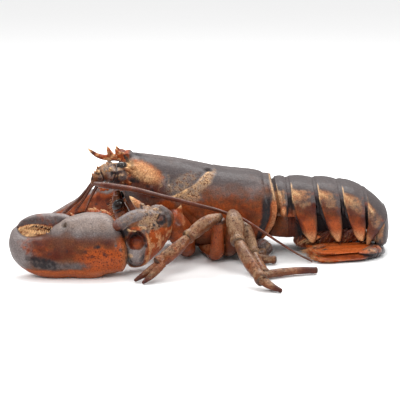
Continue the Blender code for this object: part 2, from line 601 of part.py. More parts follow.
def feeler_base(side, grow=0.0):
    name = "feeler_base_%s" % SIDE_NAMES[side]
    return limb(name, mirrored(PEDUNCLE, side), "shell_back", rings=8, sides=9, grow=grow)


def short_feelers():
    """Both pairs of short feelers, whose stalks meet under the beak, as one solid."""
    whole = None
    for side in (LEFT, RIGHT):
        pair = whip("short_feelers", mirrored(ANTENNULE, side), 4)
        for rows in ANTENNULE_WHIPS:
            pair = join(pair, whip("short_whip", mirrored(rows, side), 6, 4))
        whole = join(whole, pair) if whole else pair
    bridge = [(-50.5, -5.0, 52.6, 1.3, 1.3), (-50.8, 0.0, 52.4, 1.5, 1.5), (-50.5, 5.0, 52.6, 1.3, 1.3)]
    whole = join(whole, limb("bridge", bridge, "whip", rings=4, sides=6))
    cut(whole, carapace_space())
    for side in (LEFT, RIGHT):
        cut(whole, feeler_base(side, GAP))
    return whole


def head_parts(side):
    """Eye, feeler base with its scale, long feeler and jaw leg of one side."""
    base = join(feeler_base(side), limb("scale", mirrored(SCALE, side), "shell_back", rings=5, sides=6))
    cut(base, eye(side, GAP))
    cut(base, carapace_space())
    cut(eye(side), carapace_space())
    long_feeler = whip("feeler_%s" % SIDE_NAMES[side], WHIP_LEFT if side == LEFT else WHIP_RIGHT, 18)
    cut(long_feeler, feeler_base(side, GAP))
    jaw = limb("jaw_leg_%s" % SIDE_NAMES[side], mirrored(JAW_LEG, side), "underside", (1, 0, 0.3), 8, 8)
    cut(jaw, breast(GAP))


def swimmeret(number, side):
    x, z, lean, size = SWIMMERETS[number]
    rows = [
        (x + ahead * lean * size, -side * (16.4 - 0.2 * down), z - down * size, wide * size, 0.7)
        for ahead, down, wide in SWIMMERET
    ]
    return limb("swimmeret_%s_%d" % (SIDE_NAMES[side], number), rows, "underside", (0, 1, 0), 5, 6)


def tail():
    """The six rings of the tail, each cut back by the plate before it, and the fan."""
    for k in range(len(LOBE_DEPTHS)):
        tail_ring(k)
    fan_plate("telson", TELSON, 0.0, LEFT)
    for side in (LEFT, RIGHT):
        upper = uropod("upper", side)
        lower = join(uropod("lower", side), limb("root", mirrored(FAN_ROOT, side), "shell_fan", rings=6, sides=8))
        cut(upper, limb("space", mirrored(FAN_ROOT, side), "shell_fan", rings=6, sides=8, grow=GAP))
        cut(upper, uropod("lower", side, GAP))
        cut(lower, fan_plate("space", TELSON, 0.0, LEFT, GAP))


def main():
    for obj in list(bpy.data.objects):
        bpy.data.objects.remove(obj)
    carapace()
    cut(breast(), carapace_space())
    tail()
    short_feelers()
    for side, kind in ((LEFT, CRUSHER), (RIGHT, CUTTER)):
        head_parts(side)
        claw_set(side, kind)
        for number in LEGS:
            leg(number, side)
        for number in SWIMMERETS:
            swimmeret(number, side)


main()
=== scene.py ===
"""A whole raw lobster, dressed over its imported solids: shell, claws, legs, tail, fan, feelers and mouth parts.

Lengths in the tables and functions are millimetres in the table frame, whose x = 2.6 is the part's x = 0. The
lobster faces -X, its left side faces -Y, and the ground is z = 0. Left limbs are described, right ones mirrored.
Every shell surface carries marks, numbers from 0 to 1 at its points, which say where each colour of shell lies.
"""

import functools
import math

import bpy
import bmesh
import numpy as np
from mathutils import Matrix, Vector


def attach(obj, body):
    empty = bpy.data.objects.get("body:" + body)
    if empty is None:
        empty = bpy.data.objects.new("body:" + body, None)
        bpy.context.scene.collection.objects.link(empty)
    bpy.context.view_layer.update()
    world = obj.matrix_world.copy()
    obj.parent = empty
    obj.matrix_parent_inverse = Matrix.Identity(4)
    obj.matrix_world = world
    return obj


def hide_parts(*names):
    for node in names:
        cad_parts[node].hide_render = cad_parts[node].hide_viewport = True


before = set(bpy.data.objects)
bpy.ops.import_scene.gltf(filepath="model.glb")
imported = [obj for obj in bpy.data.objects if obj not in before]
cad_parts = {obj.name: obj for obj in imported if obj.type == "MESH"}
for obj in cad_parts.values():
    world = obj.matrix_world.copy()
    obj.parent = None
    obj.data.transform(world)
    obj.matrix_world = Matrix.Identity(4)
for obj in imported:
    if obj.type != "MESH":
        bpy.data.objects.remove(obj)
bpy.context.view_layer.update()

bl_info = {
    "name": "Lobster",
    "version": (1, 0, 0),
    "blender": (4, 5, 0),
    "location": "3D View > Sidebar > Lobster",
    "description": "Dresses the solids of a whole raw lobster with detailed shell",
    "category": "Object",
}

MM = 0.001
MIDDLE = np.array([2.6, 0, 0])
SIDES = {"left": 1, "right": -1}
MARKS = ("cool", "mist", "olive", "warm", "flame", "deep", "dark", "pale", "speck")

# Carapace stations: x, top of the back, lower edge, half width.
CARAPACE = [
    (-46.5, 58.4, 37, 9.5), (-43, 60.3, 30, 13), (-36, 59.9, 22, 17), (-24, 58.4, 13.5, 20.6),
    (-12, 56.6, 9.6, 22.6), (0, 54.2, 8, 23.8), (12, 52, 7.8, 24.8), (24, 50.7, 8.4, 25.2),
    (34, 49.4, 9.6, 24.9), (40, 47.6, 10.6, 24), (43, 46.2, 11.4, 23.4),
]
WIDEST_AT = 0.42
BACK_RADIUS = 24
REAR_EDGE_BULGE = 3.2
REAR_EDGE_START = 28
# The neck furrow's x and angle round the back, from a flank to the top.
FURROW = [(-30, 4), (-22, 13), (-17, 19), (-13.4, 22.5), (-5.5, 35.5), (1.2, 55.7), (6.5, 74), (7.5, 90)]
ROSTRUM = [
    (-36, 56, 8, 3), (-44, 57.6, 6.4, 3), (-49, 57.6, 4.6, 2.5), (-54, 57.4, 3.2, 1.9),
    (-59, 57.7, 2.4, 1.6), (-62.6, 58.9, 1.8, 1.4), (-65.6, 61, 1.1, 1), (-68, 63.1, 0.4, 0.4),
]
# Spines beside the beak: x, distance from the middle, height, half width; and above the eyes: x, y, z, half width.
BEAK_SPINES = [(-43.4, 5.2, 1.4, 1.9), (-46.6, 4, 2.4, 2.1), (-49.4, 3.2, 4.2, 2.4), (-54.8, 2.2, 4.4, 1.8)]
BROW_SPINES = [(-43.6, 12.6, 52.6, 2), (-43, 14.6, 47, 1.8), (-40, 13.4, 54.4, 1.5)]
# Tail planes: top x and z, turn in degrees, half width, depth of the flank and of the belly.
TAIL_PLANES = [
    (43.6, 44.2, 0, 21, 16, 28), (51.8, 44.8, -2.5, 22, 17.5, 29.5), (67.8, 44.6, -5.5, 22, 18, 28),
    (82.6, 43.6, -6, 21.4, 17.5, 26), (97.8, 40, -4, 20.6, 16, 22), (113.4, 26.4, 31, 19, 12, 14),
    (114.4, 7.4, 80, 15.6, 7, 8),
]
LAST_RING_WIDTH = 15.4
LOBE_DEPTHS = [1, 17, 16, 14, 10.5, 0.5]
# Soft skin hangs this far below the belly of each plane.
SOFT_BELLY = [3, 3.6, 1.5, 0, 0, 0, 0]
TELSON = [(111.6, 0, 3.6, 7), (108, 0, 2, 8.4), (101, 0, 1.2, 9.2), (80, 0, 1, 9),
          (73, 0, 1, 7), (70.6, 0, 1, 4)]
UROPODS = {
    "upper": (10, [(103, -14.6, 6.9, 4), (98, -17.4, 6.4, 6.4), (85, -20.4, 6.2, 8.4),
                     (73, -21.8, 5.9, 7.8), (69.4, -22.2, 5.8, 6.2), (67.6, -22.4, 5.7, 3.2)]),
    "lower": (12, [(103, -16, 4.4, 5), (98, -20.6, 3.8, 8.4), (86, -23.6, 3.5, 10),
                     (74, -25.4, 3.3, 9), (70, -26.2, 3.3, 7), (68.2, -26.8, 3.3, 3.6)]),
}
FAN_ROOT = [(109.4, -15.4, 3.4, 2.6, 2.6), (106.4, -19.4, 4, 3.8, 3.7), (102.2, -23.4, 4.4, 4.2, 3.5),
            (98.2, -25.6, 4.6, 2.6, 2.2), (95.4, -26.6, 4.8, 1, 0.8)]
# Bundles of bristles: from where, to where, aim, greatest length and number.
FAN_BRISTLES = [
    ((75, 22.6, 8.6), (68, 23.8, 6.4), (-1, 0, -0.34), 9, 120),
    ((76, 24.6, 6.4), (69.5, 28, 4.2), (-1, -0.1, -0.22), 6, 110),
    ((72, 19, 13), (63, 18.6, 11), (-0.85, 0, -0.62), 6.5, 90),
]
# The claws lie in leaning planes: their lower edge's y and z, the planes' lean, and where their rings stand upright.
CLAW_EDGE = (-68.5, 0.7)
CLAW_LEAN = (0.543, 0.84)
CLAW_SQUARE = (-48, 20)
CRUSHER = {
    "palm": [
        (-42.2, 13.6, 5.4, 4.2), (-43.5, 14.6, 9, 7.4), (-47.5, 17, 13, 10.4), (-54, 20, 17.8, 12.6),
        (-60.5, 19.8, 19.3, 13.2), (-68, 18.8, 18.9, 12.8), (-76, 16.6, 17, 12), (-83, 14, 13.8, 11),
        (-89, 13.6, 12.2, 10), (-95, 14.6, 10.8, 8.8), (-101, 17.5, 8.5, 7), (-105, 22.3, 5.2, 4.8),
        (-106.2, 27.4, 2.6, 2.8), (-105.8, 30.8, 0.7, 0.9),
    ],
    "finger": [
        (-75.5, 32.4, 4.6, 6.5), (-80, 32.7, 5.7, 7), (-84, 32.7, 5.8, 7.2), (-88, 33.3, 5.4, 7),
        (-93, 33.6, 4.8, 6.2), (-98, 33.1, 3.9, 5), (-102.4, 31.6, 2.7, 3.6), (-105, 30.2, 1.2, 2),
    ],
    "spines": (-62.5, -46.6),
    "bed": [(-81, 24, 1.2, 1.6), (-85, 24.8, 2.8, 3.2), (-92, 24.6, 3.3, 3.4), (-98, 25.4, 2.8, 2.8),
            (-102, 27.6, 1.6, 1.8), (-104.6, 29.2, 0.5, 0.8)],
    "blunt": True,
}
CUTTER = {
    "palm": [
        (-34, 23, 8, 6), (-37.5, 22.5, 11.5, 8), (-43, 20, 14, 9.5), (-52, 17.5, 15.6, 10.5),
        (-60, 16, 15.2, 10.6), (-66.5, 11.8, 11.6, 9.8), (-72, 8.6, 8.4, 8.8), (-78, 6.8, 6.6, 7.4),
        (-85, 5.2, 5, 5.8), (-91, 4.2, 3.6, 4.4), (-96.5, 4, 2.1, 2.4), (-99.2, 4.4, 0.7, 0.8),
    ],
    "finger": [
        (-64, 25, 4.4, 6.2), (-70, 22, 4.9, 6.6), (-77, 17.4, 4.2, 5.8), (-84, 13.2, 3.4, 4.6),
        (-90, 10.2, 2.5, 3.4), (-95.6, 7.8, 1.5, 2), (-98.4, 6.9, 0.6, 0.7),
    ],
    "spines": (-64.5, -45),
    "bed": [(-69, 16.6, 0.8, 1), (-74, 14.4, 1.2, 1.4), (-84, 10.2, 1.2, 1.4), (-92, 7.6, 0.8, 1),
            (-96, 6.2, 0.4, 0.5)],
    "blunt": False,
}
# Rows of teeth: distance out, height over the bed and share of the full size.
TOOTH_ROWS = [(-2, 0.35, 1), (0.4, 0.45, 0.8), (2, 0.25, 0.62), (3.1, 0, 0.5), (3.9, -0.35, 0.42)]
# Limb stations: x, y, z, half width, half height.
CARPUS = [
    (-18, -39.5, 28.5, 5, 6), (-21.6, -42, 28, 8.6, 9.6), (-27, -45.8, 25.6, 10.2, 12.6),
    (-33.5, -50.6, 21.2, 10.6, 14.4), (-39.8, -54.4, 17.8, 10.2, 15), (-43.8, -56.6, 16.6, 8.6, 12.8),
]
WRIST_SOCKET = [
    (-37, -58.6, 26.6, 1, 1), (-36.8, -61.6, 23.4, 4.6, 3.4), (-36.2, -63.2, 16.5, 6.2, 4.4),
    (-36.4, -62, 10.2, 4.8, 3.6), (-36.6, -60, 6.8, 1.4, 1.2),
]
WRIST_KNOB = [(-36.8, -57.6, 18.6, 2, 1.6), (-36.6, -59.4, 15.8, 4.8, 3.6), (-36.4, -60, 11.4, 5.2, 4.2),
              (-36.4, -58.6, 7, 2.8, 2.2)]
WRIST_SKIN = [(-40.2, -57, 21, 1.6, 1.8), (-38.6, -57.8, 20.2, 3, 3.4), (-35.6, -58.2, 19.6, 3.4, 4),
              (-32.2, -57, 19.6, 1.6, 2)]
WRIST_SHOULDER = [(-30, -51, 32, 4.6, 5), (-37, -54.6, 32.6, 4.6, 4.8), (-43, -57.4, 30.8, 4.4, 4),
                  (-48, -59, 28.6, 3.8, 3), (-51.4, -59.4, 27.2, 2, 1.6)]
WRIST_HINGE = [(-26, -46.6, 37.4, 1.2, 1.2), (-22.4, -47.8, 36.6, 1.3, 1.3), (-19.4, -48.6, 34.2, 1.2, 1.2),
               (-18.2, -49, 31, 1.2, 1.2), (-19.4, -49.8, 27.6, 1.5, 1.5), (-22.6, -51, 26, 1.8, 1.8)]
ARM = [
    (-7, -11, 5, 4.2, 4.2), (-7.6, -20, 5.6, 4.8, 4.8), (-9, -29, 11, 6, 6.6),
    (-12.5, -36, 21, 7.2, 9), (-18.5, -39.5, 27.6, 6.4, 8),
]
WRIST_SPINES = [((-31, -43, 32.6), (-41.6, -40.5, 42.8), 3.9), ((-23, -45, 22.5), (-25, -52.8, 15.6), 3)]
ARM_SPINE = ((-13.5, -35.5, 28), (-10.8, -36, 36.4), 2.8)
LEGS = {
    2: {
        "merus": [(2, -12.5, 6, 3.4, 3.6), (6, -22, 5, 3.4, 3.8), (9.8, -33, 6.4, 3.8, 4.4),
                  (10.2, -38, 16, 3.8, 3.8), (11, -43.6, 29, 3, 3.4)],
        "wrist": [(12, -44.5, 31.2, 2.4, 2.2), (6, -48, 29.4, 3.9, 3.7), (-7.5, -58, 21.6, 3.4, 3.9)],
        "hand": [(-6.5, -58, 22, 2.6, 2.8), (-14, -64, 16.2, 3.4, 4), (-24, -71, 9.6, 3, 4)],
        "fingers": [[(-22, -69, 10.6, 2.4, 2.2), (-30, -73.4, 5.2, 2.1, 2), (-36.4, -76.4, 1.6, 0.9, 1)],
                    [(-21, -72, 10, 2.4, 2.2), (-27, -77, 4.8, 2.1, 2), (-31.8, -80.6, 1.4, 0.9, 1)]],
    },
    3: {
        "merus": [(12.6, -13, 6, 3.5, 3.6), (15.4, -21, 5.4, 3.4, 3.8), (18.4, -29.5, 7.6, 3.5, 4.2),
                  (19, -37, 18.6, 3.5, 3.8), (19.2, -45.6, 31.8, 3, 3.4)],
        "wrist": [(18.8, -46.6, 34.2, 2.8, 2.4), (19.4, -51, 32.2, 4.3, 4), (21.6, -65.6, 20.6, 3.7, 4.1)],
        "hand": [(21.4, -64.4, 21.6, 2.8, 2.9), (25, -73, 16.2, 3.6, 4), (34.4, -91.6, 5.6, 3.2, 3.8)],
        "fingers": [[(32, -89.6, 6.8, 2.5, 2.4), (38.6, -93.8, 3.4, 2.3, 2.1), (44.6, -97, 1.4, 1.2, 1.2)],
                    [(33.6, -88, 6.6, 2.2, 2.2), (39, -90.6, 3, 1.8, 1.8), (43.6, -92.6, 1.2, 0.9, 0.9)]],
    },
    4: {
        "merus": [(24, -13, 6.2, 3.2, 3.5), (25.6, -21, 5.6, 3.2, 3.6), (27, -29, 9.2, 3.2, 3.8),
                  (26.4, -34.8, 23.4, 2.8, 2.8)],
        "wrist": [(26, -34.8, 25.6, 2.4, 2.2), (27, -39, 22.4, 3.3, 3.4), (31.4, -51.6, 10.4, 3.2, 3.5)],
        "hand": [(31, -50.6, 11, 2.6, 2.8), (33.4, -59, 6.6, 3.2, 3.2), (37, -69.4, 3.2, 3, 2.8)],
        "fingers": [[(35.6, -70.4, 3, 2.4, 2.4), (43, -66.4, 3, 2.6, 2.4), (58, -60, 2.8, 2.3, 2.1),
                     (67, -58, 2.4, 1.9, 1.9)]],
    },
    5: {
        "merus": [(33, -13, 7.4, 3.6, 3.8), (37, -20.4, 7.4, 4.4, 4.6), (39, -26, 6.4, 4.2, 4.4)],
        "wrist": [(39, -25.4, 5.4, 2.4, 2.6), (32, -28.6, 4.2, 3, 3.2), (27.4, -31, 3.8, 2.4, 2.8)],
        "hand": [(27.4, -32, 3.6, 2.2, 2.4), (34, -35.4, 3.4, 2.6, 2.7), (44.6, -37.4, 3, 1.8, 2)],
        "fingers": [],
    },
}
EYE = (-47.2, -10.8, 54.1)
EYE_RADIUS = 2.9
PEDUNCLE = [
    (-43, -10, 45, 4.6, 5.6), (-48, -12.5, 46.4, 5.4, 6), (-53.6, -14, 48.6, 5.2, 5.2),
    (-58.6, -15.4, 48.4, 4.4, 4.4), (-62.6, -16.6, 45.4, 3, 3), (-63.8, -17, 43.6, 1.8, 1.8),
]
SCALE = [(-51.6, -16, 49.4, 1.2, 2.6), (-55.2, -17.4, 53, 1.1, 2.2), (-56.8, -17.8, 57.4, 0.4, 0.7)]
WHIP_LEFT = [
    (-62.6, -20.4, 45.4, 1.3), (-58, -25, 45.6, 1.7), (-41, -31, 44.6, 1.7), (-23, -36, 41.4, 1.35),
    (0, -39, 36.2, 1.1), (10, -38, 33.4, 1), (18, -37.8, 30.6, 0.9), (23, -38.8, 29.2, 0.9),
    (30, -42, 25.8, 0.85), (41, -40, 18, 0.75), (58.6, -34, 5.4, 0.6), (66.4, -33.4, 1.2, 0.5),
]
WHIP_RIGHT = [
    (-64.6, 15.6, 41.6, 1.3), (-68.4, 14, 36, 1.35), (-75, 12, 28.6, 1.3), (-83, 10, 21.6, 1.2),
    (-90, 7, 15, 1.1), (-94, 3, 9.6, 1), (-94, -3, 5, 0.9), (-89, -9, 2.4, 0.8),
    (-79, -11, 1.3, 0.65), (-66, -8, 1.2, 0.5),
]
ANTENNULE = [(-48, -3.6, 47.6, 2), (-54, -4.6, 47.8, 1.8), (-58.4, -5.4, 46.6, 1.4)]
ANTENNULE_WHIPS = [
    [(-57.4, -5, 46.9, 0.9), (-64, -6.4, 42, 0.65), (-70, -6, 33, 0.55), (-76.6, -5.4, 23, 0.4)],
    [(-57.4, -5.6, 46.5, 0.9), (-62, -9, 41, 0.65), (-66.4, -10.4, 33, 0.55), (-70, -12, 24, 0.4)],
]
JAW_LEG = [
    (-30, -8.4, 11.6, 3.6, 3.8), (-38, -8.2, 15.4, 3.8, 4.4), (-46, -8, 21.4, 3.4, 4.2),
    (-50, -7.6, 28.4, 2.8, 3.2), (-51, -7.2, 35, 1.6, 1.8),
]
MOUTH_BEAD = [(-46.6, -9.6, 32.2, 1.2, 1.2), (-48.2, -11.2, 31.6, 2.7, 2.7), (-50.6, -12.4, 30, 2.5, 2.7),
              (-52.4, -12.8, 28.8, 0.8, 0.9)]
BREAST = [
    (-44, 0, 32, 7, 3), (-38, 0, 23.6, 8, 4), (-27, 0, 13.6, 9, 3.8),
    (-12, 0, 8, 9.6, 3.4), (4, 0, 6.4, 10.6, 3.4), (20, 0, 6.4, 11, 3.4), (38, 0, 8.6, 10, 3.2),
]
SWIMMERETS = {2: (61.4, 14, -0.2, 0.92), 3: (77.4, 15.6, 1, 0.82), 4: (91.6, 16.4, 1, 0.84)}
# A blade's stations: how far ahead, how far down, and half width.
SWIMMERET = [(0, 0, 1.6), (-1.2, 2.4, 3.6), (-2.8, 5, 5), (-4.6, 7.8, 3.6), (-5.4, 9.4, 2)]
# Lamps: place and size in metres, power in watts and colour.
LAMPS = [
    ("top", (0, 0.34, 0.74), (0.9, 0.4), 7.6, (1, 1, 1)),
    ("front", (-0.3, -0.85, 0.7), (0.35, 0.25), 4, (1, 0.99, 0.97)),
    ("right", (0.75, -0.35, 0.5), (0.25, 0.25), 2, (1, 1, 1)),
    ("glint", (-0.2, -0.6, 0.8), (0.06, 0.06), 0.6, (1, 1, 1)),
]
FLOOR_SIZE = 6
CAMERA_LENS = 132.75
CAMERA_TILT = math.radians(12.5)
CAMERA_AIM = 0.031


def colour(name, value, words):
    return bpy.props.FloatVectorProperty(name=name, description=words, default=value, size=3, min=0, max=1,
        subtype="COLOR")


def length(name, value, words):
    return bpy.props.FloatProperty(name=name, description=words, default=value*MM, min=0, unit="LENGTH",
        subtype="DISTANCE", precision=5)


class LobsterColours(bpy.types.PropertyGroup):
    ground: colour("Brown", (0.098, 0.032, 0.011), "Plain brown of the shell between its other colours")
    cool: colour("Slate", (0.056, 0.045, 0.045), "Grey blue of the back and the tops of the claws")
    # Mist is the shell's pale mauve grey and also a painted sheen of the overhead light on the tops of parts.
    mist: colour("Mist", (0.185, 0.155, 0.15), "Pale mauve grey along the back and the tops of the claws")
    olive: colour("Olive beige", (0.23, 0.14, 0.08), "Speckled beige below the neck furrow and on the legs")
    warm: colour("Orange", (0.26, 0.048, 0.008), "Orange of the lobes, the fan and the lower claw")
    flame: colour("Flame", (0.44, 0.11, 0.02), "Brightest orange of the lobes' ends, spines and knobs")
    deep: colour("Dark red", (0.062, 0.01, 0.004), "Dark red brown of shaded sides and strands")
    # Soot also paints shade in dents, notches, hollows and under overlapping plates.
    dark: colour("Soot", (0.014, 0.011, 0.012), "Near black of spots, furrows and joints")
    # Cream also paints highlights where the shell catches the light.
    pale: colour("Cream", (0.62, 0.37, 0.18), "Cream and gold of edges, teeth and tips")
    eye: colour("Eye", (0.008, 0.008, 0.009), "Polished black of the eyes")
    floor: colour("Floor", (0.9, 0.9, 0.9), "Pale floor under the lobster")


class LobsterSizes(bpy.types.PropertyGroup):
    furrow_depth: length("Neck furrow", 1, "Depth of the furrow that crosses the carapace")
    rim_height: length("Rear rim", 0.7, "Height of the carapace's raised rear rim")
    grain: length("Shell grain", 0.07, "Height of the fine unevenness of the shell")
    claw_spine: length("Claw spine", 4, "Length of the spines along the top of each claw")
    tooth: length("Claw tooth", 1.9, "Width of the largest tooth in the crusher")
    fringe: length("Fringe", 3.6, "Length of the bristles along the fan's edge")
    ring_step: length("Feeler ring", 1.1, "Distance between the rings of a feeler")
    camera_distance: length("Camera distance", 900, "Distance from the camera to the point that it looks at")


def ramp(low, high, value):
    """0 below low, 1 above high and a soft step between; low may be the larger one."""
    t = np.clip((value - low)/(high - low), 0, 1)
    return t*t*(3 - 2*t)


def peak(*terms):
    """1 where every value is 0, fading out over its width. Values and widths take turns."""
    return np.exp(-sum((value/width)**2 for value, width in zip(terms[::2], terms[1::2])))


def most(*values):
    """The largest of several values at each point."""
    return functools.reduce(np.maximum, values)


def patch(points, x, z, long, tall, turn=0):
    """A soft oval on both flanks, given by its middle, half sizes and turn in degrees."""
    c, s = math.cos(math.radians(turn)), math.sin(math.radians(turn))
    dx, dz = points[..., 0] - x, points[..., 2] - z
    d = ((dx*c + dz*s)/long)**2 + ((dz*c - dx*s)/tall)**2
    return ramp(1.5, 0.5, np.sqrt(d))


DRAW = np.random.default_rng(11)
LATTICE = DRAW.permutation(256)
LEVELS = DRAW.random(256)*2 - 1


def noise(points, size, seed=0):
    """Smooth unevenness from -1 to 1 with features of one size."""
    q = points/size + seed*17.37
    cell = np.floor(q).astype(int)
    f = q - cell
    f = f*f*(3 - 2*f)
    total = 0
    for corner in range(8):
        step = np.array([corner & 1, corner >> 1 & 1, corner >> 2])
        i = cell + step
        h = LATTICE[(LATTICE[(LATTICE[i[..., 0] & 255] + i[..., 1]) & 255] + i[..., 2]) & 255]
        total = total + LEVELS[h]*np.prod(np.where(step, f, 1 - f), axis=-1)
    return total


def rough(points, size, seed=0):
    """Unevenness of three sizes together."""
    fine = 0.5*noise(points, size/2, seed + 1)
    return (noise(points, size, seed) + fine + 0.25*noise(points, size/4, seed + 2))/1.4


def unit(v):
    return v/np.linalg.norm(v)


def smooth_rows(rows, count):
    """A smooth curve through rows whose first three numbers are a place, read again at count even steps."""
    rows = np.array(rows, float)
    at = np.concatenate([[0], np.cumsum(np.linalg.norm(np.diff(rows[:, :3], axis=0), axis=1))])
    slope = np.gradient(rows, at, axis=0)
    t = np.linspace(0, 1, count)*at[-1]
    k = np.clip(np.searchsorted(at, t, side="right") - 1, 0, len(at) - 2)
    h = (at[k + 1] - at[k])[:, None]
    s = (t - at[k])[:, None]/h
    return ((2*s**3 - 3*s**2 + 1)*rows[k] + (s**3 - 2*s**2 + s)*h*slope[k] + (3*s**2 - 2*s**3)*rows[k + 1]
        + (s**3 - s**2)*h*slope[k + 1])


def tube(rows, rings, sides, up=(0, 0, 1), power=2, square=None):
    """Rings of an oval tube as an array of rings, sides and x y z."""
    rows = smooth_rows(rows, rings)
    path = rows[:, :3]
    tangents = np.gradient(path, axis=0)
    if square:
        tangents[:, 1:] *= np.clip((square[0] - path[:, :1])/square[1], 0, 1)
    up = np.array(up, float)
    angles = np.arange(sides)*2*math.pi/sides
    c, s = np.cos(angles), np.sin(angles)
    c = np.sign(c)*np.abs(c)**(2/power)
    s = np.sign(s)*np.abs(s)**(2/power)
    grid = np.empty((rings, sides, 3))
    for i, tangent in enumerate(tangents):
        tangent = unit(tangent)
        up = unit(up - tangent*np.dot(up, tangent))
        across = np.cross(tangent, up)
        grid[i] = path[i] + np.outer(c*rows[i, 3], across) + np.outer(s*rows[i, 4], up)
    return grid


def outward(grid):
    """Unit direction away from the middle at each point of a grid of rings."""
    n = np.cross(np.roll(grid, -1, axis=1) - np.roll(grid, 1, axis=1), np.gradient(grid, axis=0))
    n /= most(np.linalg.norm(n, axis=2, keepdims=True), 1e-9)
    return n*(1 if (n*(grid - grid.mean(axis=1, keepdims=True))).sum() > 0 else -1)


def raised(grid, amount):
    return grid + outward(grid)*np.asarray(amount)[..., None]


def steps_of(grid):
    """Share along the rings and angle round them, both as full arrays."""
    rings, sides = grid.shape[:2]
    return np.meshgrid(np.linspace(0, 1, rings), np.arange(sides)*2*math.pi/sides, indexing="ij")


def mirrored(rows, side):
    return [(row[0], row[1]*side, *row[2:]) for row in rows]


def closed(grid, start=0, end=0, steps=4):
    """Points and faces of a grid of rings with a dome of a given height over each end."""
    sides = grid.shape[1]
    caps, poles = [], []
    for index, inner, height in ((0, 1, start), (-1, -2, end)):
        ring, centre = grid[index], grid[index].mean(axis=0)
        out = unit(centre - grid[inner].mean(axis=0))*height
        turns = [0.5*math.pi*k/(steps + 1) for k in range(1, steps + 1)]
        caps.append([centre + (ring - centre)*math.cos(t) + out*math.sin(t) for t in turns])
        poles.append(centre + out)
    whole = np.concatenate([caps[0][::-1], grid, caps[1]])
    total = len(whole)
    points = np.concatenate([whole.reshape(-1, 3), poles])
    i, j = np.meshgrid(np.arange(total - 1), np.arange(sides), indexing="ij")
    k = (j + 1) % sides
    quads = np.stack([i*sides + j, i*sides + k, (i + 1)*sides + k, (i + 1)*sides + j], axis=-1).reshape(-1, 4)
    faces = quads.tolist()
    last = (total - 1)*sides
    for a in range(sides):
        b = (a + 1) % sides
        faces.append((b, a, total*sides))
        faces.append((last + a, last + b, total*sides + 1))
    return points, faces, (len(caps[0]), len(caps[1]))


def linked(name, data):
    """A new object in the scene."""
    obj = bpy.data.objects.new(name, data)
    bpy.context.scene.collection.objects.link(obj)
    return obj


def mesh_object(name, points, faces):
    """An object from points in millimetres, whose faces point outwards and are shaded smooth."""
    mesh = bpy.data.meshes.new(name)
    mesh.from_pydata((points - MIDDLE)*MM, [], faces)
    made = bmesh.new()
    made.from_mesh(mesh)
    if made.calc_volume(signed=True) < 0:
        bmesh.ops.reverse_faces(made, faces=made.faces)
    made.to_mesh(mesh)
    made.free()
    mesh.shade_smooth()
    return linked(name, mesh)


def places(obj):
    """A piece's points in millimetres and the outward direction at each one."""
    count = len(obj.data.vertices)
    points, normals = np.empty(count*3), np.empty(count*3, np.float32)
    obj.data.vertices.foreach_get("co", points)
    obj.data.vertex_normals.foreach_get("vector", normals)
    return points.reshape(-1, 3)/MM + MIDDLE, normals.reshape(-1, 3).astype(float)


def push(obj, amount):
    """Moves each point of a piece along its own outward direction."""
    points, normals = places(obj)
    obj.data.vertices.foreach_set("co", ((points + normals*amount[:, None] - MIDDLE)*MM).ravel())
    obj.data.update()


def mark(obj, **values):
    """Stores how much of each shell colour lies at each point."""
    for name, value in values.items():
        old = obj.data.attributes.get(name)
        store = old or obj.data.attributes.new(name, "FLOAT", "POINT")
        value = np.broadcast_to(np.asarray(value, float), len(obj.data.vertices))
        store.data.foreach_set("value", np.clip(value, 0.0, 1.0))


def skin(name, grid, start=0, end=0, marks=None):
    """A closed piece over a grid of rings, with marks given on the same grid."""
    points, faces, (before, after) = closed(grid, start, end)
    obj = mesh_object(name, points, faces)
    for key, value in (marks or {}).items():
        value = np.broadcast_to(value, grid.shape[:2])
        rows = np.concatenate([np.repeat(value[:1], before, 0), value, np.repeat(value[-1:], after, 0)])
        mark(obj, **{key: np.concatenate([rows.ravel(), [value[0].mean(), value[-1].mean()]])})
    return obj


def applied(obj):
    """Turns an object's modifiers into its plain mesh."""
    graph = bpy.context.evaluated_depsgraph_get()
    mesh = bpy.data.meshes.new_from_object(obj.evaluated_get(graph))
    obj.modifiers.clear()
    obj.data = mesh
    return obj


def carved(obj, other, operation):
    """Adds or takes away another solid, which is removed."""
    tool = obj.modifiers.new(operation.lower(), "BOOLEAN")
    tool.operation = operation
    tool.object = other
    applied(obj)
    bpy.data.objects.remove(other)
    return obj


def fused(name, objects, voxel, rounds=4):
    """One even mesh over several closed solids that run into each other, softened a little."""
    made = bmesh.new()
    for obj in objects:
        made.from_mesh(obj.data)
        bpy.data.objects.remove(obj)
    mesh = bpy.data.meshes.new(name)
    made.to_mesh(mesh)
    made.free()
    whole = linked(name, mesh)
    remesh = whole.modifiers.new("even", "REMESH")
    remesh.mode = "VOXEL"
    remesh.voxel_size = voxel*MM
    soft = whole.modifiers.new("soft", "SMOOTH")
    soft.factor = 0.5
    soft.iterations = rounds
    applied(whole)
    whole.data.shade_smooth()
    return whole


def wear(obj, slot, *nodes):
    """Gives a piece its material, sets it on the body and lets it stand for its solids."""
    obj.data.materials.clear()
    obj.data.materials.append(FINISHES[slot])
    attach(obj, "root")
    if nodes:
        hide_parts(*nodes)
    return obj


def fill(tree, made, inputs):
    """Puts values or other nodes' outputs on a node's inputs."""
    for key, value in inputs.items():
        if isinstance(value, bpy.types.NodeSocket):
            tree.links.new(value, made.inputs[key])
        else:
            made.inputs[key].default_value = value


def node(tree, kind, inputs=None, **settings):
    """A node with its settings and its inputs."""
    made = tree.nodes.new(kind)
    for key, value in settings.items():
        setattr(made, key, value)
    fill(tree, made, inputs or {})
    return made


def maths(tree, operation, a, b=0, c=0):
    return node(tree, "ShaderNodeMath", {0: a, 1: b, 2: c}, operation=operation).outputs[0]


def blended(tree, factor, a, b, blend_type="MIX"):
    inputs = {0: factor, 6: a, 7: b}
    return node(tree, "ShaderNodeMix", inputs, data_type="RGBA", blend_type=blend_type).outputs[2]


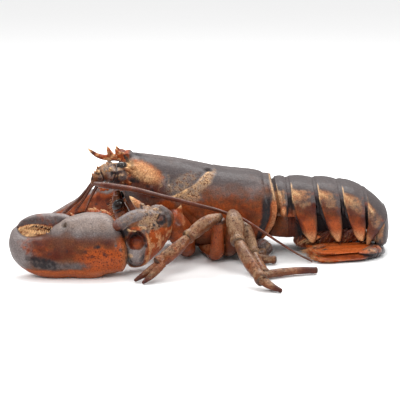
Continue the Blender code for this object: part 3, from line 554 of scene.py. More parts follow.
def ranged(tree, value, low, high, to_low=0, to_high=1, soft=True):
    inputs = {"Value": value, "From Min": low, "From Max": high, "To Min": to_low, "To Max": to_high}
    return node(tree, "ShaderNodeMapRange", inputs, interpolation_type="SMOOTHSTEP" if soft else "LINEAR").outputs[0]


# How each mark breaks up at its edge: noise used, strength of the noise and softness of the edge.
EDGES = {
    "cool": ("broad", 1, 0.5),
    "mist": ("broad", 0.7, 0.5),
    "olive": ("middle", 1.7, 0.4),
    "warm": ("middle", 1.1, 0.45),
    "flame": ("middle", 0.7, 0.5),
    "deep": ("broad", 1.3, 0.45),
    "dark": ("middle", 1.3, 0.4),
    "pale": ("fine", 0.28, 0.48),
}


def new_material(name):
    """A material, its tree, its shader and the place on the piece."""
    material = bpy.data.materials.new(name)
    material.use_nodes = True
    tree = material.node_tree
    return material, tree, tree.nodes["Principled BSDF"], node(tree, "ShaderNodeTexCoord").outputs["Object"]


def shell_material(name, wet, gloss, grain=1, tint=1):
    """Wet shell whose colours lie where the marks say, broken up by noise, with pits and fine unevenness."""
    colours = bpy.context.scene.lobster_colours
    material, tree, shader, place = new_material(name)
    kinds = {"broad": (130, 4), "middle": (420, 3), "fine": (1150, 2), "grain": (2300, 1)}
    noises = {
        key: node(tree, "ShaderNodeTexNoise", {"Vector": place, "Scale": scale, "Detail": detail}).outputs["Fac"]
        for key,
        (scale, detail) in kinds.items()
    }
    shade = (*[c*tint for c in colours.ground], 1)
    for key, (kind, strength, edge) in EDGES.items():
        amount = node(tree, "ShaderNodeAttribute", attribute_name=key).outputs["Fac"]
        broken = maths(tree, "MULTIPLY_ADD", noises[kind], strength, -0.5*strength)
        # Nothing breaks through where the mark is nought.
        inside = maths(tree, "MULTIPLY", broken, ranged(tree, amount, 0, 0.3))
        factor = ranged(tree, maths(tree, "ADD", amount, inside), 0.5 - edge, 0.5 + edge)
        paint = getattr(colours, key)
        shade = blended(tree, factor, shade, (*[min(1, c*(1 if key == "pale" else tint)) for c in paint], 1))
    cells = node(tree, "ShaderNodeTexVoronoi", {"Vector": place, "Scale": 780, "Randomness": 1})
    speck = node(tree, "ShaderNodeAttribute", attribute_name="speck").outputs["Fac"]
    wide = ranged(tree, noises["middle"], 0.35, 0.65, 0.2, 0.48)
    dots = ranged(tree, maths(tree, "SUBTRACT", cells.outputs["Distance"], wide), 0.06, -0.1)
    dotted = maths(tree, "MULTIPLY", dots, maths(tree, "MULTIPLY_ADD", speck, 0.8, 0.06))
    shade = blended(tree, dotted, shade, (*colours.deep, 1))
    for kind, low, high in (("fine", 0.8, 1.22), ("grain", 0.78, 1.24)):
        tone = ranged(tree, noises[kind], 0.28, 0.72, low, high, False)
        tone = node(tree, "ShaderNodeCombineColor", {"Red": tone, "Green": tone, "Blue": tone}).outputs[0]
        shade = blended(tree, 1, shade, tone, "MULTIPLY")
    pits = ranged(tree, cells.outputs["Distance"], 0, 0.35, 0, 1)
    height = maths(tree, "ADD", maths(tree, "MULTIPLY", noises["fine"], 0.8), maths(tree, "MULTIPLY", pits, 0.25))
    height = maths(tree, "ADD", height, maths(tree, "MULTIPLY", noises["middle"], 1.6))
    relief = node(tree, "ShaderNodeBump", {"Strength": 0.6, "Distance": 0.0002*grain, "Height": height})
    fill(tree, shader, {
        "Base Color": shade,
        "Roughness": ranged(tree, noises["middle"], 0.3, 0.7, wet, wet + 0.16, False),
        "Coat Weight": gloss, "Coat Roughness": 0.09, "Specular IOR Level": 0.12, "Normal": relief.outputs[0]
    })
    return material


def eye_material():
    """Polished black with the faintest brown in its grain."""
    material, tree, shader, place = new_material("eye")
    facets = node(tree, "ShaderNodeTexVoronoi", {"Vector": place, "Scale": 4200}).outputs["Distance"]
    black = (*bpy.context.scene.lobster_colours.eye, 1)
    brown = (0.02, 0.012, 0.009, 1)
    fill(tree, shader, {
        "Base Color": blended(tree, ranged(tree, facets, 0.2, 0.6), black, brown),
        "Roughness": ranged(tree, facets, 0, 0.6, 0.06, 0.14), "Coat Weight": 0.35, "Coat Roughness": 0.04,
        "Specular IOR Level": 0.25
    })
    return material


def floor_material():
    """Plain pale floor with the faintest cloudiness."""
    material, tree, shader, place = new_material("floor")
    cloud = node(tree, "ShaderNodeTexNoise", {"Vector": place, "Scale": 3}).outputs["Fac"]
    pale = bpy.context.scene.lobster_colours.floor
    shade = blended(tree, cloud, (*[c*0.985 for c in pale], 1), (*pale, 1))
    fill(tree, shader, {"Base Color": shade, "Roughness": 0.55})
    return material


FINISHES = {}


def make_finishes():
    FINISHES.update(shell_back=shell_material("shell_back", 0.38, 0.08),
        shell_claw=shell_material("shell_claw", 0.34, 0.09), shell_leg=shell_material("shell_leg", 0.34, 0.15),
        shell_fan=shell_material("shell_fan", 0.26, 0.3, 1, 1.6), whip=shell_material("whip", 0.34, 0.2, 0.5),
        underside=shell_material("underside", 0.24, 0.4, 1, 1.2), eye=eye_material(), floor=floor_material())


def new_tree(name, sockets):
    """An empty geometry tree with its named inputs, its group input and its group output."""
    tree = bpy.data.node_groups.new(name, "GeometryNodeTree")
    tree.interface.new_socket(name="Geometry", in_out="INPUT", socket_type="NodeSocketGeometry")
    for key, kind, value in sockets:
        socket = tree.interface.new_socket(name=key, in_out="INPUT", socket_type="NodeSocket" + kind)
        if value is not None:
            socket.default_value = value
    tree.interface.new_socket(name="Geometry", in_out="OUTPUT", socket_type="NodeSocketGeometry")
    return tree, tree.nodes.new("NodeGroupInput"), tree.nodes.new("NodeGroupOutput")


def ended(tree, geometry, given, out):
    """Realizes the instances, shades them smooth and sets the material at the end of a tree."""
    real = node(tree, "GeometryNodeRealizeInstances", {"Geometry": geometry}).outputs[0]
    even = node(tree, "GeometryNodeSetShadeSmooth", {"Geometry": real}).outputs[0]
    done = node(tree, "GeometryNodeSetMaterial", {"Geometry": even, "Material": given.outputs["Material"]})
    tree.links.new(done.outputs[0], out.inputs[0])


def swept(tree, line, sides, width):
    """A round body with closed ends along a line."""
    ring = node(tree, "GeometryNodeCurvePrimitiveCircle", {"Resolution": sides, "Radius": 1}).outputs[0]
    inputs = {"Curve": line, "Profile Curve": ring, "Scale": width, "Fill Caps": True}
    return node(tree, "GeometryNodeCurveToMesh", inputs).outputs[0]


def stored(tree, name, kind="FLOAT"):
    """A value that each point carries."""
    return node(tree, "GeometryNodeInputNamedAttribute", {"Name": name}, data_type=kind).outputs["Attribute"]


def spike_tree():
    """A spine, tooth or bristle on every point, along the point's aim and bent towards its lean."""
    tree, given, out = new_tree("Spikes on points",
        [("Bend", "Float", 0.2), ("Fullness", "Float", 1), ("Tip", "Float", 0.05), ("Flare", "Float", 0),
            ("Sides", "Int", 6), ("Steps", "Int", 5), ("Uneven", "Float", 0.15), ("Seed", "Int", 5),
            ("Material", "Material", None)])
    bend = node(tree, "ShaderNodeCombineXYZ", {"X": given.outputs["Bend"], "Z": 1}).outputs[0]
    line = node(tree, "GeometryNodeCurveQuadraticBezier", {"Resolution": given.outputs["Steps"], "Start": (0, 0, 0),
        "Middle": (0, 0, 0.55), "End": bend}).outputs[0]
    along = node(tree, "GeometryNodeSplineParameter").outputs["Factor"]
    line = node(tree, "GeometryNodeStoreNamedAttribute", {"Geometry": line, "Name": "along", "Value": along},
        data_type="FLOAT", domain="POINT").outputs[0]
    left = maths(tree, "SUBTRACT", 1, along)
    narrowing = maths(tree, "POWER", left, given.outputs["Fullness"])
    foot = maths(tree, "MULTIPLY", maths(tree, "POWER", left, 8), given.outputs["Flare"])
    width = maths(tree, "ADD", maths(tree, "MAXIMUM", narrowing, given.outputs["Tip"]), foot)
    spike = swept(tree, line, given.outputs["Sides"], width)
    aim, lean = (stored(tree, key, "FLOAT_VECTOR") for key in ("aim", "lean"))
    stand = node(tree, "FunctionNodeAlignRotationToVector", {"Vector": aim}, axis="Z").outputs[0]
    stand = node(tree, "FunctionNodeAlignRotationToVector", {"Rotation": stand, "Vector": lean}, axis="X",
        pivot_axis="Z").outputs[0]
    draw = node(tree, "FunctionNodeRandomValue", {"Seed": given.outputs["Seed"]}, data_type="FLOAT")
    draw.inputs[2].default_value = -1
    draw.inputs[3].default_value = 1
    uneven = maths(tree, "MULTIPLY_ADD", draw.outputs[1], given.outputs["Uneven"], 1)
    wide, tall = (stored(tree, key) for key in ("wide", "tall"))
    size = node(tree, "ShaderNodeCombineXYZ",
        {"X": wide, "Y": wide, "Z": maths(tree, "MULTIPLY", tall, uneven)}).outputs[0]
    many = node(tree, "GeometryNodeInstanceOnPoints", {"Points": given.outputs["Geometry"], "Instance": spike,
        "Rotation": stand, "Scale": size}).outputs[0]
    ended(tree, many, given, out)
    return tree


def whip_tree():
    """A ringed feeler along a line of points, as thick as each point says."""
    tree, given, out = new_tree("Ringed feeler", [("Rings", "Float", 100), ("Ring Height", "Float", 0.06),
            ("Sides", "Int", 12), ("Count", "Int", 500), ("Material", "Material", None)])
    line = node(tree, "GeometryNodeMeshToCurve", {"Mesh": given.outputs["Geometry"]}).outputs[0]
    line = node(tree, "GeometryNodeResampleCurve", {"Curve": line, "Count": given.outputs["Count"]}).outputs[0]
    along = node(tree, "GeometryNodeSplineParameter").outputs["Factor"]
    thick = stored(tree, "thick")
    turn = maths(tree, "MULTIPLY", maths(tree, "MULTIPLY", along, given.outputs["Rings"]), 2*math.pi)
    ripple = maths(tree, "MULTIPLY_ADD", maths(tree, "SINE", turn), given.outputs["Ring Height"], 1)
    ended(tree, swept(tree, line, given.outputs["Sides"], maths(tree, "MULTIPLY", thick, ripple)), given, out)
    return tree


TREES = {}


def tree_of(name, maker):
    if name not in TREES:
        TREES[name] = maker()
    return TREES[name]


def run_tree(obj, tree, **values):
    """Runs a geometry tree on an object and keeps its result as a plain mesh."""
    modifier = obj.modifiers.new(tree.name, "NODES")
    modifier.node_group = tree
    for item in tree.interface.items_tree:
        key = item.name.replace(" ", "_").lower()
        if item.in_out == "INPUT" and key in values:
            number = item.socket_type == "NodeSocketFloat"
            modifier[item.identifier] = float(values[key]) if number else values[key]
    return applied(obj)


def spikes(name, slot, rows, lean=(0, 0, 1), **settings):
    """A piece of many spines, teeth or bristles, from rows of point, aim, width and height in millimetres."""
    points, aims, wide, tall = (np.array(column, float) for column in zip(*rows))
    mesh = bpy.data.meshes.new(name)
    mesh.from_pydata((points - MIDDLE)*MM, [], [])
    obj = linked(name, mesh)
    count = len(points)
    for key, value in (("aim", aims), ("lean", lean)):
        store = mesh.attributes.new(key, "FLOAT_VECTOR", "POINT")
        store.data.foreach_set("vector", np.broadcast_to(np.asarray(value, float), (count, 3)).ravel())
    for key, value in (("wide", wide), ("tall", tall)):
        store = mesh.attributes.new(key, "FLOAT", "POINT")
        store.data.foreach_set("value", value*MM)
    return run_tree(obj, tree_of("spike", spike_tree), material=FINISHES[slot], **settings)


def along_marks(obj, **stops):
    """Marks a piece of spikes by the share from foot to tip: each mark goes from one value to another."""
    store = obj.data.attributes["along"]
    share = np.empty(len(obj.data.vertices))
    store.data.foreach_get("value", share)
    for key, (foot, tip) in stops.items():
        mark(obj, **{key: foot + (tip - foot)*share})
    return share


def joined(name, objects):
    """One object from several plain meshes, with the marks of all of them."""
    kept = objects[0]
    for key in MARKS:
        for obj in objects:
            if key not in obj.data.attributes:
                obj.data.attributes.new(key, "FLOAT", "POINT")
    with bpy.context.temp_override(
        active_object=kept, object=kept, selected_objects=objects, selected_editable_objects=objects
    ):
        bpy.ops.object.join()
    kept.name = name
    kept.data.name = name
    return kept


def rear_edge_shift(z):
    """How far the carapace's rear edge stands behind a straight edge at one height."""
    _, top, low, _ = CARAPACE[-1]
    height = np.clip((z - low)/(top - low), 0, 1)
    return REAR_EDGE_BULGE*(np.sin(math.pi*height**0.9) - 1.7*(1 - height)**4)


def arch(half_width, top, widest, low, belly, edge_in, wall, arc_steps, side_steps):
    """Outline y, z of a body ring: an arched back, flanks that curve in to two edges, and the underside."""
    edge = half_width*edge_in
    a = math.pi*np.arange(arc_steps + 1)/arc_steps
    back_y = half_width*np.sign(np.cos(a))*np.abs(np.cos(a))**0.92
    back_z = widest + (top - widest)*np.abs(np.sin(a))**0.92
    b = 0.5*math.pi*np.arange(1, side_steps + 1)/side_steps
    flank_y = edge + (half_width - edge)*np.cos(b)
    flank_z = widest - (widest - low)*np.sin(b)**1.15
    inner = edge - wall
    under = np.array([(-inner, low + 0.1*(belly - low)), (-inner*0.92, belly), (-inner*0.4, belly),
            (inner*0.4, belly), (inner*0.92, belly), (inner, low + 0.1*(belly - low))])
    return np.concatenate([np.stack([back_y, back_z], 1), np.stack([-flank_y, flank_z], 1), under,
            np.stack([flank_y, flank_z], 1)[::-1]])


def carapace_values(x):
    rows = np.array(CARAPACE)
    return [np.interp(x, rows[:, 0], rows[:, k]) for k in (1, 2, 3)]


def on_back(points):
    """For points on the carapace: x without the rear edge's bulge, and millimetres up round the back."""
    x = points[..., 0] - ramp(REAR_EDGE_START, 43, points[..., 0])*rear_edge_shift(points[..., 2])
    top, low, width = carapace_values(x)
    widest = low + WIDEST_AT*(top - low)
    angle = np.arctan2((points[..., 2] - widest)/(top - widest), np.abs(points[..., 1])/width)
    return x, np.degrees(angle)


def from_line(x, s, line):
    """Distance to a broken line, positive on its rear and lower side."""
    best = np.full(x.shape, 1e9)
    sign = np.ones(x.shape)
    for (ax, az), (bx, bz) in zip(line[:-1], line[1:]):
        dx, dz = bx - ax, bz - az
        t = np.clip(((x - ax)*dx + (s - az)*dz)/(dx*dx + dz*dz), 0, 1)
        d = np.hypot(x - ax - t*dx, s - az - t*dz)
        closer = d < best
        best = np.where(closer, d, best)
        sign = np.where(closer, np.sign((x - ax)*dz - (s - az)*dx), sign)
    return best*sign


def carapace_grid(rings=190, arc_steps=110, side_steps=18):
    rows = smooth_rows([(x, 0, top, low, width) for x, top, low, width in CARAPACE], rings)
    rear = rows[-1, 0]
    grid = []
    for x, _, top, low, width in rows:
        rim = 0.7*max(0, 1 - (rear - x)/3.2)
        widest = low + WIDEST_AT*(top - low)
        outline = arch(width + rim, top + rim, widest, low, low + 2.5, 0.8, 2, arc_steps, side_steps)
        back = max(0, (x - REAR_EDGE_START)/(rear - REAR_EDGE_START))
        grid.append(np.column_stack([x + back*rear_edge_shift(outline[:, 1]), outline]))
    return np.array(grid)


def make_carapace():
    """Carapace with its beak, furrow, rims and grain."""
    sizes = bpy.context.scene.lobster_sizes
    shell = skin("shell", carapace_grid(), start=1.2, end=0)
    beak = skin("beak", tube([(x, 0, z, w, h) for x, z, w, h in ROSTRUM], 70, 28), end=0.3)
    parts = [shell, beak]
    for side in SIDES.values():
        for x, out, tall, wide in BEAK_SPINES:
            rows = [(x + 1.4, -side*(out - 1.4), 58, wide, wide), (x + 0.3, -side*out, 59.8, wide*0.85, wide*0.85),
                (x - 1.5, -side*(out + 1), 59.4 + tall, wide*0.22, wide*0.22)]
            parts.append(skin("beak_spine", tube(rows, 16, 14), end=0.2))
        for x, y, z, size in BROW_SPINES:
            rows = [(x + 2, -side*(y - 1), z - 0.6, size, size), (x, -side*y, z, size*0.8, size*0.8),
                (x - 3, -side*(y + 1), z + 0.8, 0.3, 0.3)]
            parts.append(skin("brow_spine", tube(rows, 14, 14), end=0.2))
    obj = fused("carapace_shell", parts, 0.56, 2)
    points, normals = places(obj)
    x, angle = on_back(points)
    s = np.radians(angle)*BACK_RADIUS
    line = [(a, math.radians(b)*BACK_RADIUS) for a, b in FURROW]
    d = from_line(x, s, line) + 0.35*noise(points, 5, 12)
    height = points[:, 2]
    px = points[:, 0]
    on_shell = ramp(-46, -42, px)*ramp(0, 0.25, np.hypot(normals[:, 1], normals[:, 2]) - 0.4)
    strength = ramp(-32, -14, x)
    depth = sizes.furrow_depth/MM
    # A dent behind the top of the furrow, painted near black as the shade inside it.
    notch = np.exp(-1.4*(((x - 5.4)/3.4)**2 + ((s - 29.4)/2.6)**2))
    amount = -0.3*depth*peak(d, 1.2)*strength*ramp(92, 80, angle)
    amount += 0.3*depth*peak(d - 2, 1.3)*strength*ramp(84, 70, angle)
    amount -= 1.5*notch
    # A shallow hollow line runs back along the flank, and a fine one along the top.
    amount -= 0.35*peak(s + 6 - 0.02*(x - 10)**2, 1.2)*ramp(-20, -5, x)*ramp(36, 20, x)
    amount -= 0.35*peak(points[:, 1], 0.8)*ramp(-38, -30, x)*(normals[:, 2] > 0)
    near_rear = 43 - x
    amount -= 0.55*peak(near_rear - 4.6, 1.3)*(near_rear < 9)
    mottle = noise(points, 5, 21)
    fleck = noise(points, 2.2, 22)
    speckled_to = np.interp(height, [28, 34, 42, 49, 53], [-6, -2, 5, 10, 12])
    speckled = ramp(-0.2, 1.6, d)*ramp(-1.5, 4.5, speckled_to - x + 2*mottle)
    speckled *= ramp(53.5, 50.5, height)*ramp(31, 38, height + 2*mottle)*ramp(-24, -16, x)*(angle > -10)
    above_line = patch(points, -11.5, 44.8, 11, 4.6, 26)*ramp(1.2, -0.2, d)
    peach = patch(points, -33.6, 51.2, 11.5, 5, -22)
    under_peach = patch(points, -32, 42.6, 14, 7, -24)
    bumps = most(0, fleck)*(0.32*most(speckled, above_line) + 0.45*under_peach + 0.3*peach)
    amount += bumps + sizes.grain/MM*rough(points, 1.8, 3) + 0.16*noise(points, 9, 8)
    face = ramp(-44.5, -46.5, px)*ramp(56.5, 54.5, height)
    ridges = 1.1*most(0, noise(points*(1, 1, 0.6), 3.6, 35)) - 0.8*peak(points[:, 1], 0.9)
    on_beak = sizes.grain/MM*1.2*rough(points, 1.5, 9) + 0.2*most(0, noise(points, 2.4, 7))
    push(obj, amount*on_shell + face*ridges + on_beak*(1 - on_shell))
    brown_below = np.interp(px, [-40, -20, 0, 20, 36, 46], [34, 36, 40, 40.5, 38, 34])
    slate = ramp(-8, 7, height - brown_below + 1.4 + 1.8*mottle + 1.2*noise(points, 11, 28))
    # A painted sheen of the overhead light lies along the very top of the back.
    crown_sheen = ramp(66, 86, angle + 5*mottle)*ramp(-44, -38, px)
    belt = peak(height - 41 + 2*mottle, 5)*ramp(-14, 4, px)
    zebra = patch(points, -21.6, 45.4, 3.6, 6.5, -10)
    stripes = noise(points*(1.5, 1, 0.7), 1.9, 29)
    beak_zone = ramp(-41, -45, px)*ramp(54.5, 56, height)
    wide_rim = 1.3*ramp(40, 32, height)
    band = ramp(2, 3.2, near_rear - wide_rim)*ramp(8.6, 6, near_rear - 0.6*wide_rim)*ramp(47, 40, height)
    rim = ramp(2.6, 1.2, near_rear - wide_rim)
    front_edge = ramp(-42.5, -45.6, px)*(1 - beak_zone)
    furrow = peak(d, 0.8)*strength
    grooves = peak(near_rear - 5.4, 0.5) + peak(near_rear - 2.9, 0.5)
    # Behind the neck furrow runs a pale cream line; in two stretches it is painted brighter as a highlight where the
    # rim catches the light.
    bright = most(ramp(-0.5, 1.4, x)*ramp(7, 5, x), ramp(-17.5, -15, x)*ramp(-5, -8.5, x))
    mark(obj,
        mist=most(0.4*crown_sheen*(1 - 0.4*ramp(-20, 10, px)), 0.6*speckled, 0.42*above_line, 0.16*peach, 0.1*slate,
            0.35*patch(points, -39, 57.4, 3, 2), 0.55*under_peach*ramp(0.1, 0.6, noise(points, 2.6, 25)), 0.4*zebra,
            0.3*belt),
        cool=slate*(1 - 0.95*peach)*(1 - 0.45*belt)*(1 - beak_zone)*(1 - 0.55*under_peach)*(1 - 0.8*face)
        *(1 - 0.9*rim*ramp(40, 34, height)),
        olive=most(0.6*speckled, 0.4*above_line, 0.12*belt, 0.5*rim*ramp(50, 44, height),
            0.6*beak_zone*ramp(-0.3, 0.3, fleck), 0.75*face*ramp(-0.1, 0.5, noise(points, 3.6, 35))),
        warm=most(0.95*peach, beak_zone*(0.85 + 0.3*mottle), 0.8*patch(points, -20, 33, 6, 3),
            (0.54 + 0.16*mottle)*(1 - slate)*ramp(10, 16, height), 0.16*belt, 0.5*face,
            0.95*rim*ramp(38, 33, height)),
        flame=most(0.95*peach, beak_zone*(0.8 + 0.3*fleck), 0.72*rim*ramp(38, 33, height),
            0.45*patch(points, -20, 33, 6, 3)),
        deep=most(0.6*under_peach, 0.35*face, (0.24 + 0.14*noise(points, 9, 27) + 0.16*ramp(34, 28, height))
            *(1 - slate), 0.6*ramp(14, 8, height),
            beak_zone*most(0.4*ramp(57.4, 56.2, height), 0.55*ramp(-0.3, 0.4, noise(points, 3.6, 30)))),
        dark=most(0.92*band*ramp(42, 34, height), 0.5*grooves*ramp(32, 38, height)*ramp(88, 60, angle), 0.1*furrow,
            0.98*notch, 0.5*zebra*ramp(0.1, 0.45, stripes), 0.95*patch(points, -44.4, 58.2, 1, 2.8, 40),
            0.7*front_edge*ramp(0.2, -0.4, noise(points, 3.6, 35)), 0.35*front_edge,
            0.8*patch(points, -42.6, 55.6, 3.4, 2.2), 0.8*patch(points, -39, 58.6, 4.6, 1.9)*ramp(-0.5, 0.2, fleck),
            0.75*under_peach*ramp(0, 0.5, noise(points, 3, 23)),
            0.5*beak_zone*ramp(0.25, 0.5, noise(points, 2.5, 24))),
        pale=most(peak(d - 1.5, 0.8)*strength*ramp(82, 66, angle)*(0.3 + 0.6*bright)*(0.85 + 0.5*fleck),
            peach*(0.52 + 0.06*fleck), 0.9*ramp(-64, -68, px), 0.5*beak_zone*ramp(-0.1, 0.5, fleck),
            0.3*zebra*ramp(-0.05, -0.35, stripes), 0.85*ramp(62, 64, height)*beak_zone,
            0.9*patch(points, -42.8, 54.6, 1.8, 1.3),
            most(speckled, 0.6*above_line)*(0.22 + 0.16*ramp(0, 0.6, fleck)),
            0.55*rim*peak(near_rear - 1, 0.5)*ramp(30, 40, height), 0.26*rim*ramp(38, 33, height)),
        speck=most(peach*0.12, speckled*0.85, above_line*0.85, 0.25*(1 - slate), beak_zone*0.8, 0.6*under_peach))
    return wear(obj, "shell_back", "carapace")


def make_breast():
    """Breast plates under the body, divided where each pair of legs stands."""
    grid = tube(BREAST, 130, 60, power=2.6)
    seams = np.minimum.reduce([np.abs(grid[..., 0] - at) for at in (-30, -18, -4, 8, 18, 28)])
    grid = raised(grid, -0.7*peak(seams, 0.9) - 0.6*peak(grid[..., 1], 0.8) + 0.1*rough(grid, 2, 2))
    obj = skin("breast_plates", grid, 0.5, 0.5, {
        "deep": 0.5 + 0.3*noise(grid, 6, 3), "warm": 0.45, "dark": 0.8*peak(seams, 1.2),
        "pale": 0.25 + 0.2*noise(grid, 4, 5)
    })
    return wear(obj, "underside", "breast")


def lobe_drop(share, depth):
    """How far the side lobe of a tail ring hangs, from the ring's front at 0 to its back at 1."""
    t = np.clip((share - 0.12)/0.72, 0, 1)**0.78
    return 0.5 + (depth - 0.5)*t*t*(3 - 2*t)*(1 - 0.5*(most(0, share - 0.82)/0.18)**2)


def make_tail_ring(index, rings=64, arc_steps=92, side_steps=30):
    """One ring of the tail: a low front band that slides under the ring before it, a ridge, and two pointed lobes."""
    front, rear = (np.array(plane, float) for plane in TAIL_PLANES[index:index + 2])
    front[5] += SOFT_BELLY[index]
    rear[5] += SOFT_BELLY[index + 1]
    if index == 5:
        front[3] = LAST_RING_WIDTH
    span = np.hypot(*(rear - front)[:2])
    along = unit((rear - front)[:2])
    grid, depths, shares = [], [], []
    # The first rows run forward under the plate before.
    for share in np.concatenate([[-0.16, -0.08], np.linspace(0, 1, rings - 2)]):
        inside = max(share, 0)
        x, z, turn, width, flank, belly = front + (rear - front)*inside
        turn = math.radians(turn)
        tuck = 0.18*float(ramp(0.15, 0.09, np.array(share))) + ((1.2 if index else 0.2) if share < 0 else 0)
        rise = 1.3*math.sin(math.pi*inside)**0.8 - tuck + 0.2*peak(share - 0.18, 0.05)
        low = -flank - float(lobe_drop(inside, LOBE_DEPTHS[index]))
        outline = arch(width + rise, rise, -0.58*belly, low, -belly, 0.93, 1.5, arc_steps, side_steps)
        if share < 0:
            x, z = x + share*span*along[0], z + share*span*along[1]
        ring = np.column_stack([x + outline[:, 1]*math.sin(turn), outline[:, 0], z + outline[:, 1]*math.cos(turn)])
        if index == 0:
            ring[:, 0] += (1 - inside)*rear_edge_shift(ring[:, 2])
        grid.append(ring)
        depths.append(outline[:, 1])
        shares.append(np.full(len(outline), share))
    grid, depth, share = np.array(grid), np.array(depths), np.array(shares)
    outer = np.zeros(depth.shape[1])
    outer[:arc_steps + 1 + side_steps] = 1
    outer[-side_steps:] = 1
    outside = np.broadcast_to(outer, depth.shape)
    lobed = LOBE_DEPTHS[index] > 8
    lobe = ramp(-15, -21, depth)*outside
    hinge = peak(depth + 15.5, 1.4)*ramp(0.15, 0.3, share)
    # The ring's front edge stands back lower down, as far as the lobe's own slanting edge.
    fall = np.clip((-depth - 6)/14, 0, 1)
    front_line = (0.16 + 0.17*fall**1.3 + (0.42 if lobed else 0.1)*np.clip((-depth - 18)/max(LOBE_DEPTHS[index], 4),
            0, 1)**1.7)
    before = ramp(0.03, -0.03, share - front_line)
    amount = 0.15*peak(share - 0.97, 0.03)*ramp(-3, -9, depth)
    amount += (0.9*lobe*np.sin(math.pi*np.clip(share, 0, 1)) - 0.5*ramp(0.14, 0.1, share)*ramp(-5, -10, depth)
        - 0.35*hinge - 0.6*before*ramp(-6, -14, depth))
    amount += 0.12*noise(grid, 5, index) + 0.06*rough(grid, 1.6, index + 3)
    if index == 0:
        amount += (2*peak(depth + 15.2, 2.6, share - 0.55, 0.26) - 0.6*peak(share - 0.52, 0.07)*ramp(-3, -6, depth)
            *ramp(-15, -13, depth))
        amount += 0.35*most(0, noise(grid, 2.4, 88))*ramp(-4, -7, depth)
    grid = raised(grid, amount*outside + 0.08*rough(grid, 2.2, index)*(1 - outside))
    mottle = noise(grid, 3.2, 20 + index)
    fleck = noise(grid, 1.8, 50 + index)
    flank = ramp(-2.5, -5, depth)
    tawny = flank*ramp(-15, -10.5, depth + 1.2*mottle)*ramp(0.14, 0.22, share)*ramp(1, 0.7, share)*outside
    gold = flank*ramp(-13, -7, depth + 1.5*mottle)*ramp(0.14, 0.22, share)*ramp(0.9, 0.35, share)
    # A painted highlight runs along the upper front of each ring's flank.
    shine = peak(depth + 5.8 + 5*(share - 0.3), 1.9)*ramp(0.16, 0.22, share)*ramp(0.66, 0.36, share)
    ridge = peak(share - 0.185, 0.03)*ramp(-13, -8, depth)*ramp(0, -2, depth)
    tip_at = -(front[4] + rear[4])/2 - LOBE_DEPTHS[index]
    # Ahead of each lobe's slanting front edge, where the ring runs under the lobe before it, the flank is painted near
    # black as shade; the thin dark line at the ring's front is its joint.
    joint_and_shade = most(before*ramp(-5, -10, depth), 0.6*ramp(0.05, 0, np.abs(share - 0.12))*ramp(-3, -8, depth))
    back = ramp(0.7, 0.92, share)
    below = 1 - outside
    knob = np.zeros_like(depth)
    under = np.zeros_like(depth)
    if index == 0:
        joint_and_shade = joint_and_shade*0.35 + 0.85*back*ramp(-10, -14, depth)*outside
        gold = ramp(-3, -6, depth)*ramp(-15, -12, depth)*ramp(0.62, 0.3, share)
        knob = peak(depth + 15.2, 2.8, share - 0.55, 0.28)
        lobe = most(lobe*0.5, knob)
    if index == 1:
        under = ramp(-12, -17, depth)*ramp(0.42, 0.1, share + 0.06*mottle)
        joint_and_shade = joint_and_shade*(1 - 0.85*under)
    if index == 5:
        gold, shine, ridge = gold*0.15, shine*0, ridge*0
    if index == 4:
        gold, tawny, ridge = gold*0.8, tawny*0.8, ridge*0.4
    # The ring's top is painted a little paler as a sheen of the overhead light.
    crown_sheen = ramp(-2.6, -0.6, depth + 0.8*mottle)*outside
    soft = ramp(-16, -19, depth)*ramp(-0.1, 0.5, noise(grid, 5, 80 + index))*(1 if index == 0 else 0)
    middle = ramp(-8, -12, depth)*ramp(-19, -15, depth)*outside
    leaf = most(lobe*ramp(-14, -24, depth + 2.5*mottle) if lobed else lobe,
        ramp(-10, -25, depth + 3*mottle)*outside*lobed)
    past = share - front_line
    red_band = ramp(-10, -14, depth + 2*mottle)*ramp(-24, -18, depth)*outside*ramp(0, 0.1, past)*(1 - knob)
    leaf = leaf*ramp(1.02, 0.86, share + 0.1*ramp(tip_at + 7, tip_at, depth))
    marks = {
        "cool": most(ramp(-15, -8, depth + 2*mottle)*(1 - 0.8*gold), 0.9*back*ramp(-21, -15, depth))*outside,
        "mist": most(0.08*crown_sheen, 0.2*back*ramp(-17, -9, depth)*outside, 0.12*middle, 0.5*soft, 0.3*under),
        "olive": most(tawny*(0.5 + 0.35*mottle), gold*(0.5 + 0.2*mottle)) + 0.2*ramp(0.3, 0.6, fleck)*flank*outside
        + 0.25*soft,
        "warm": most(leaf*(1 - 0.15*back), (0.16 + 0.2*mottle)*outside*flank, 0.4*gold, 0.26*tawny, 0.35*below,
            0.3*under),
        "flame": most(1.05*leaf*ramp(tip_at + 13, tip_at + 3, depth)*ramp(0.02, 0.14, past), 0.3*gold,
            0.9*knob*ramp(0.2, 0.5, knob), (0.45 + 0.3*mottle)*below*(index == 0)),
        "deep": most(0.62*red_band, 0.62*leaf*ramp(0.2, 0.02, past)*ramp(tip_at + 1, tip_at + 7, depth),
            (0.72 + 0.2*mottle - 0.4*(index == 0))*below*(1 - 0.5*soft), 0.6*under),
        "dark": most(0.92*joint_and_shade, 0.5*ramp(0.9, 0.99, share)*ramp(-8, -14, depth)*outside,
            0.35*ramp(0.5, 0.8, fleck)*flank*outside,
            (0.5*ramp(0, 0.5, mottle) + (0.35*ramp(0.1, 0.5, share) if index == 1 else 0))*below,
            0.18*ramp(0.05, 0, np.abs(share - 0.12))),
        "pale": most(0.6*ridge, 0.62*shine*(0.85 + 0.2*fleck), 0.55*ramp(tip_at + 4, tip_at + 0.6, depth + 1.2*fleck)
            *ramp(0.16, 0.02, share - front_line)*outside*lobed, 0.46*leaf*ramp(tip_at + 10, tip_at + 2, depth),
            0.24*gold, 0.2*knob),
        "speck": 0.25*gold + 0.15*leaf
    }
    obj = skin("tail_plate_%d" % (index + 1), grid, 0, 0, marks)
    return wear(obj, "shell_back", "tail_ring_%d" % (index + 1))


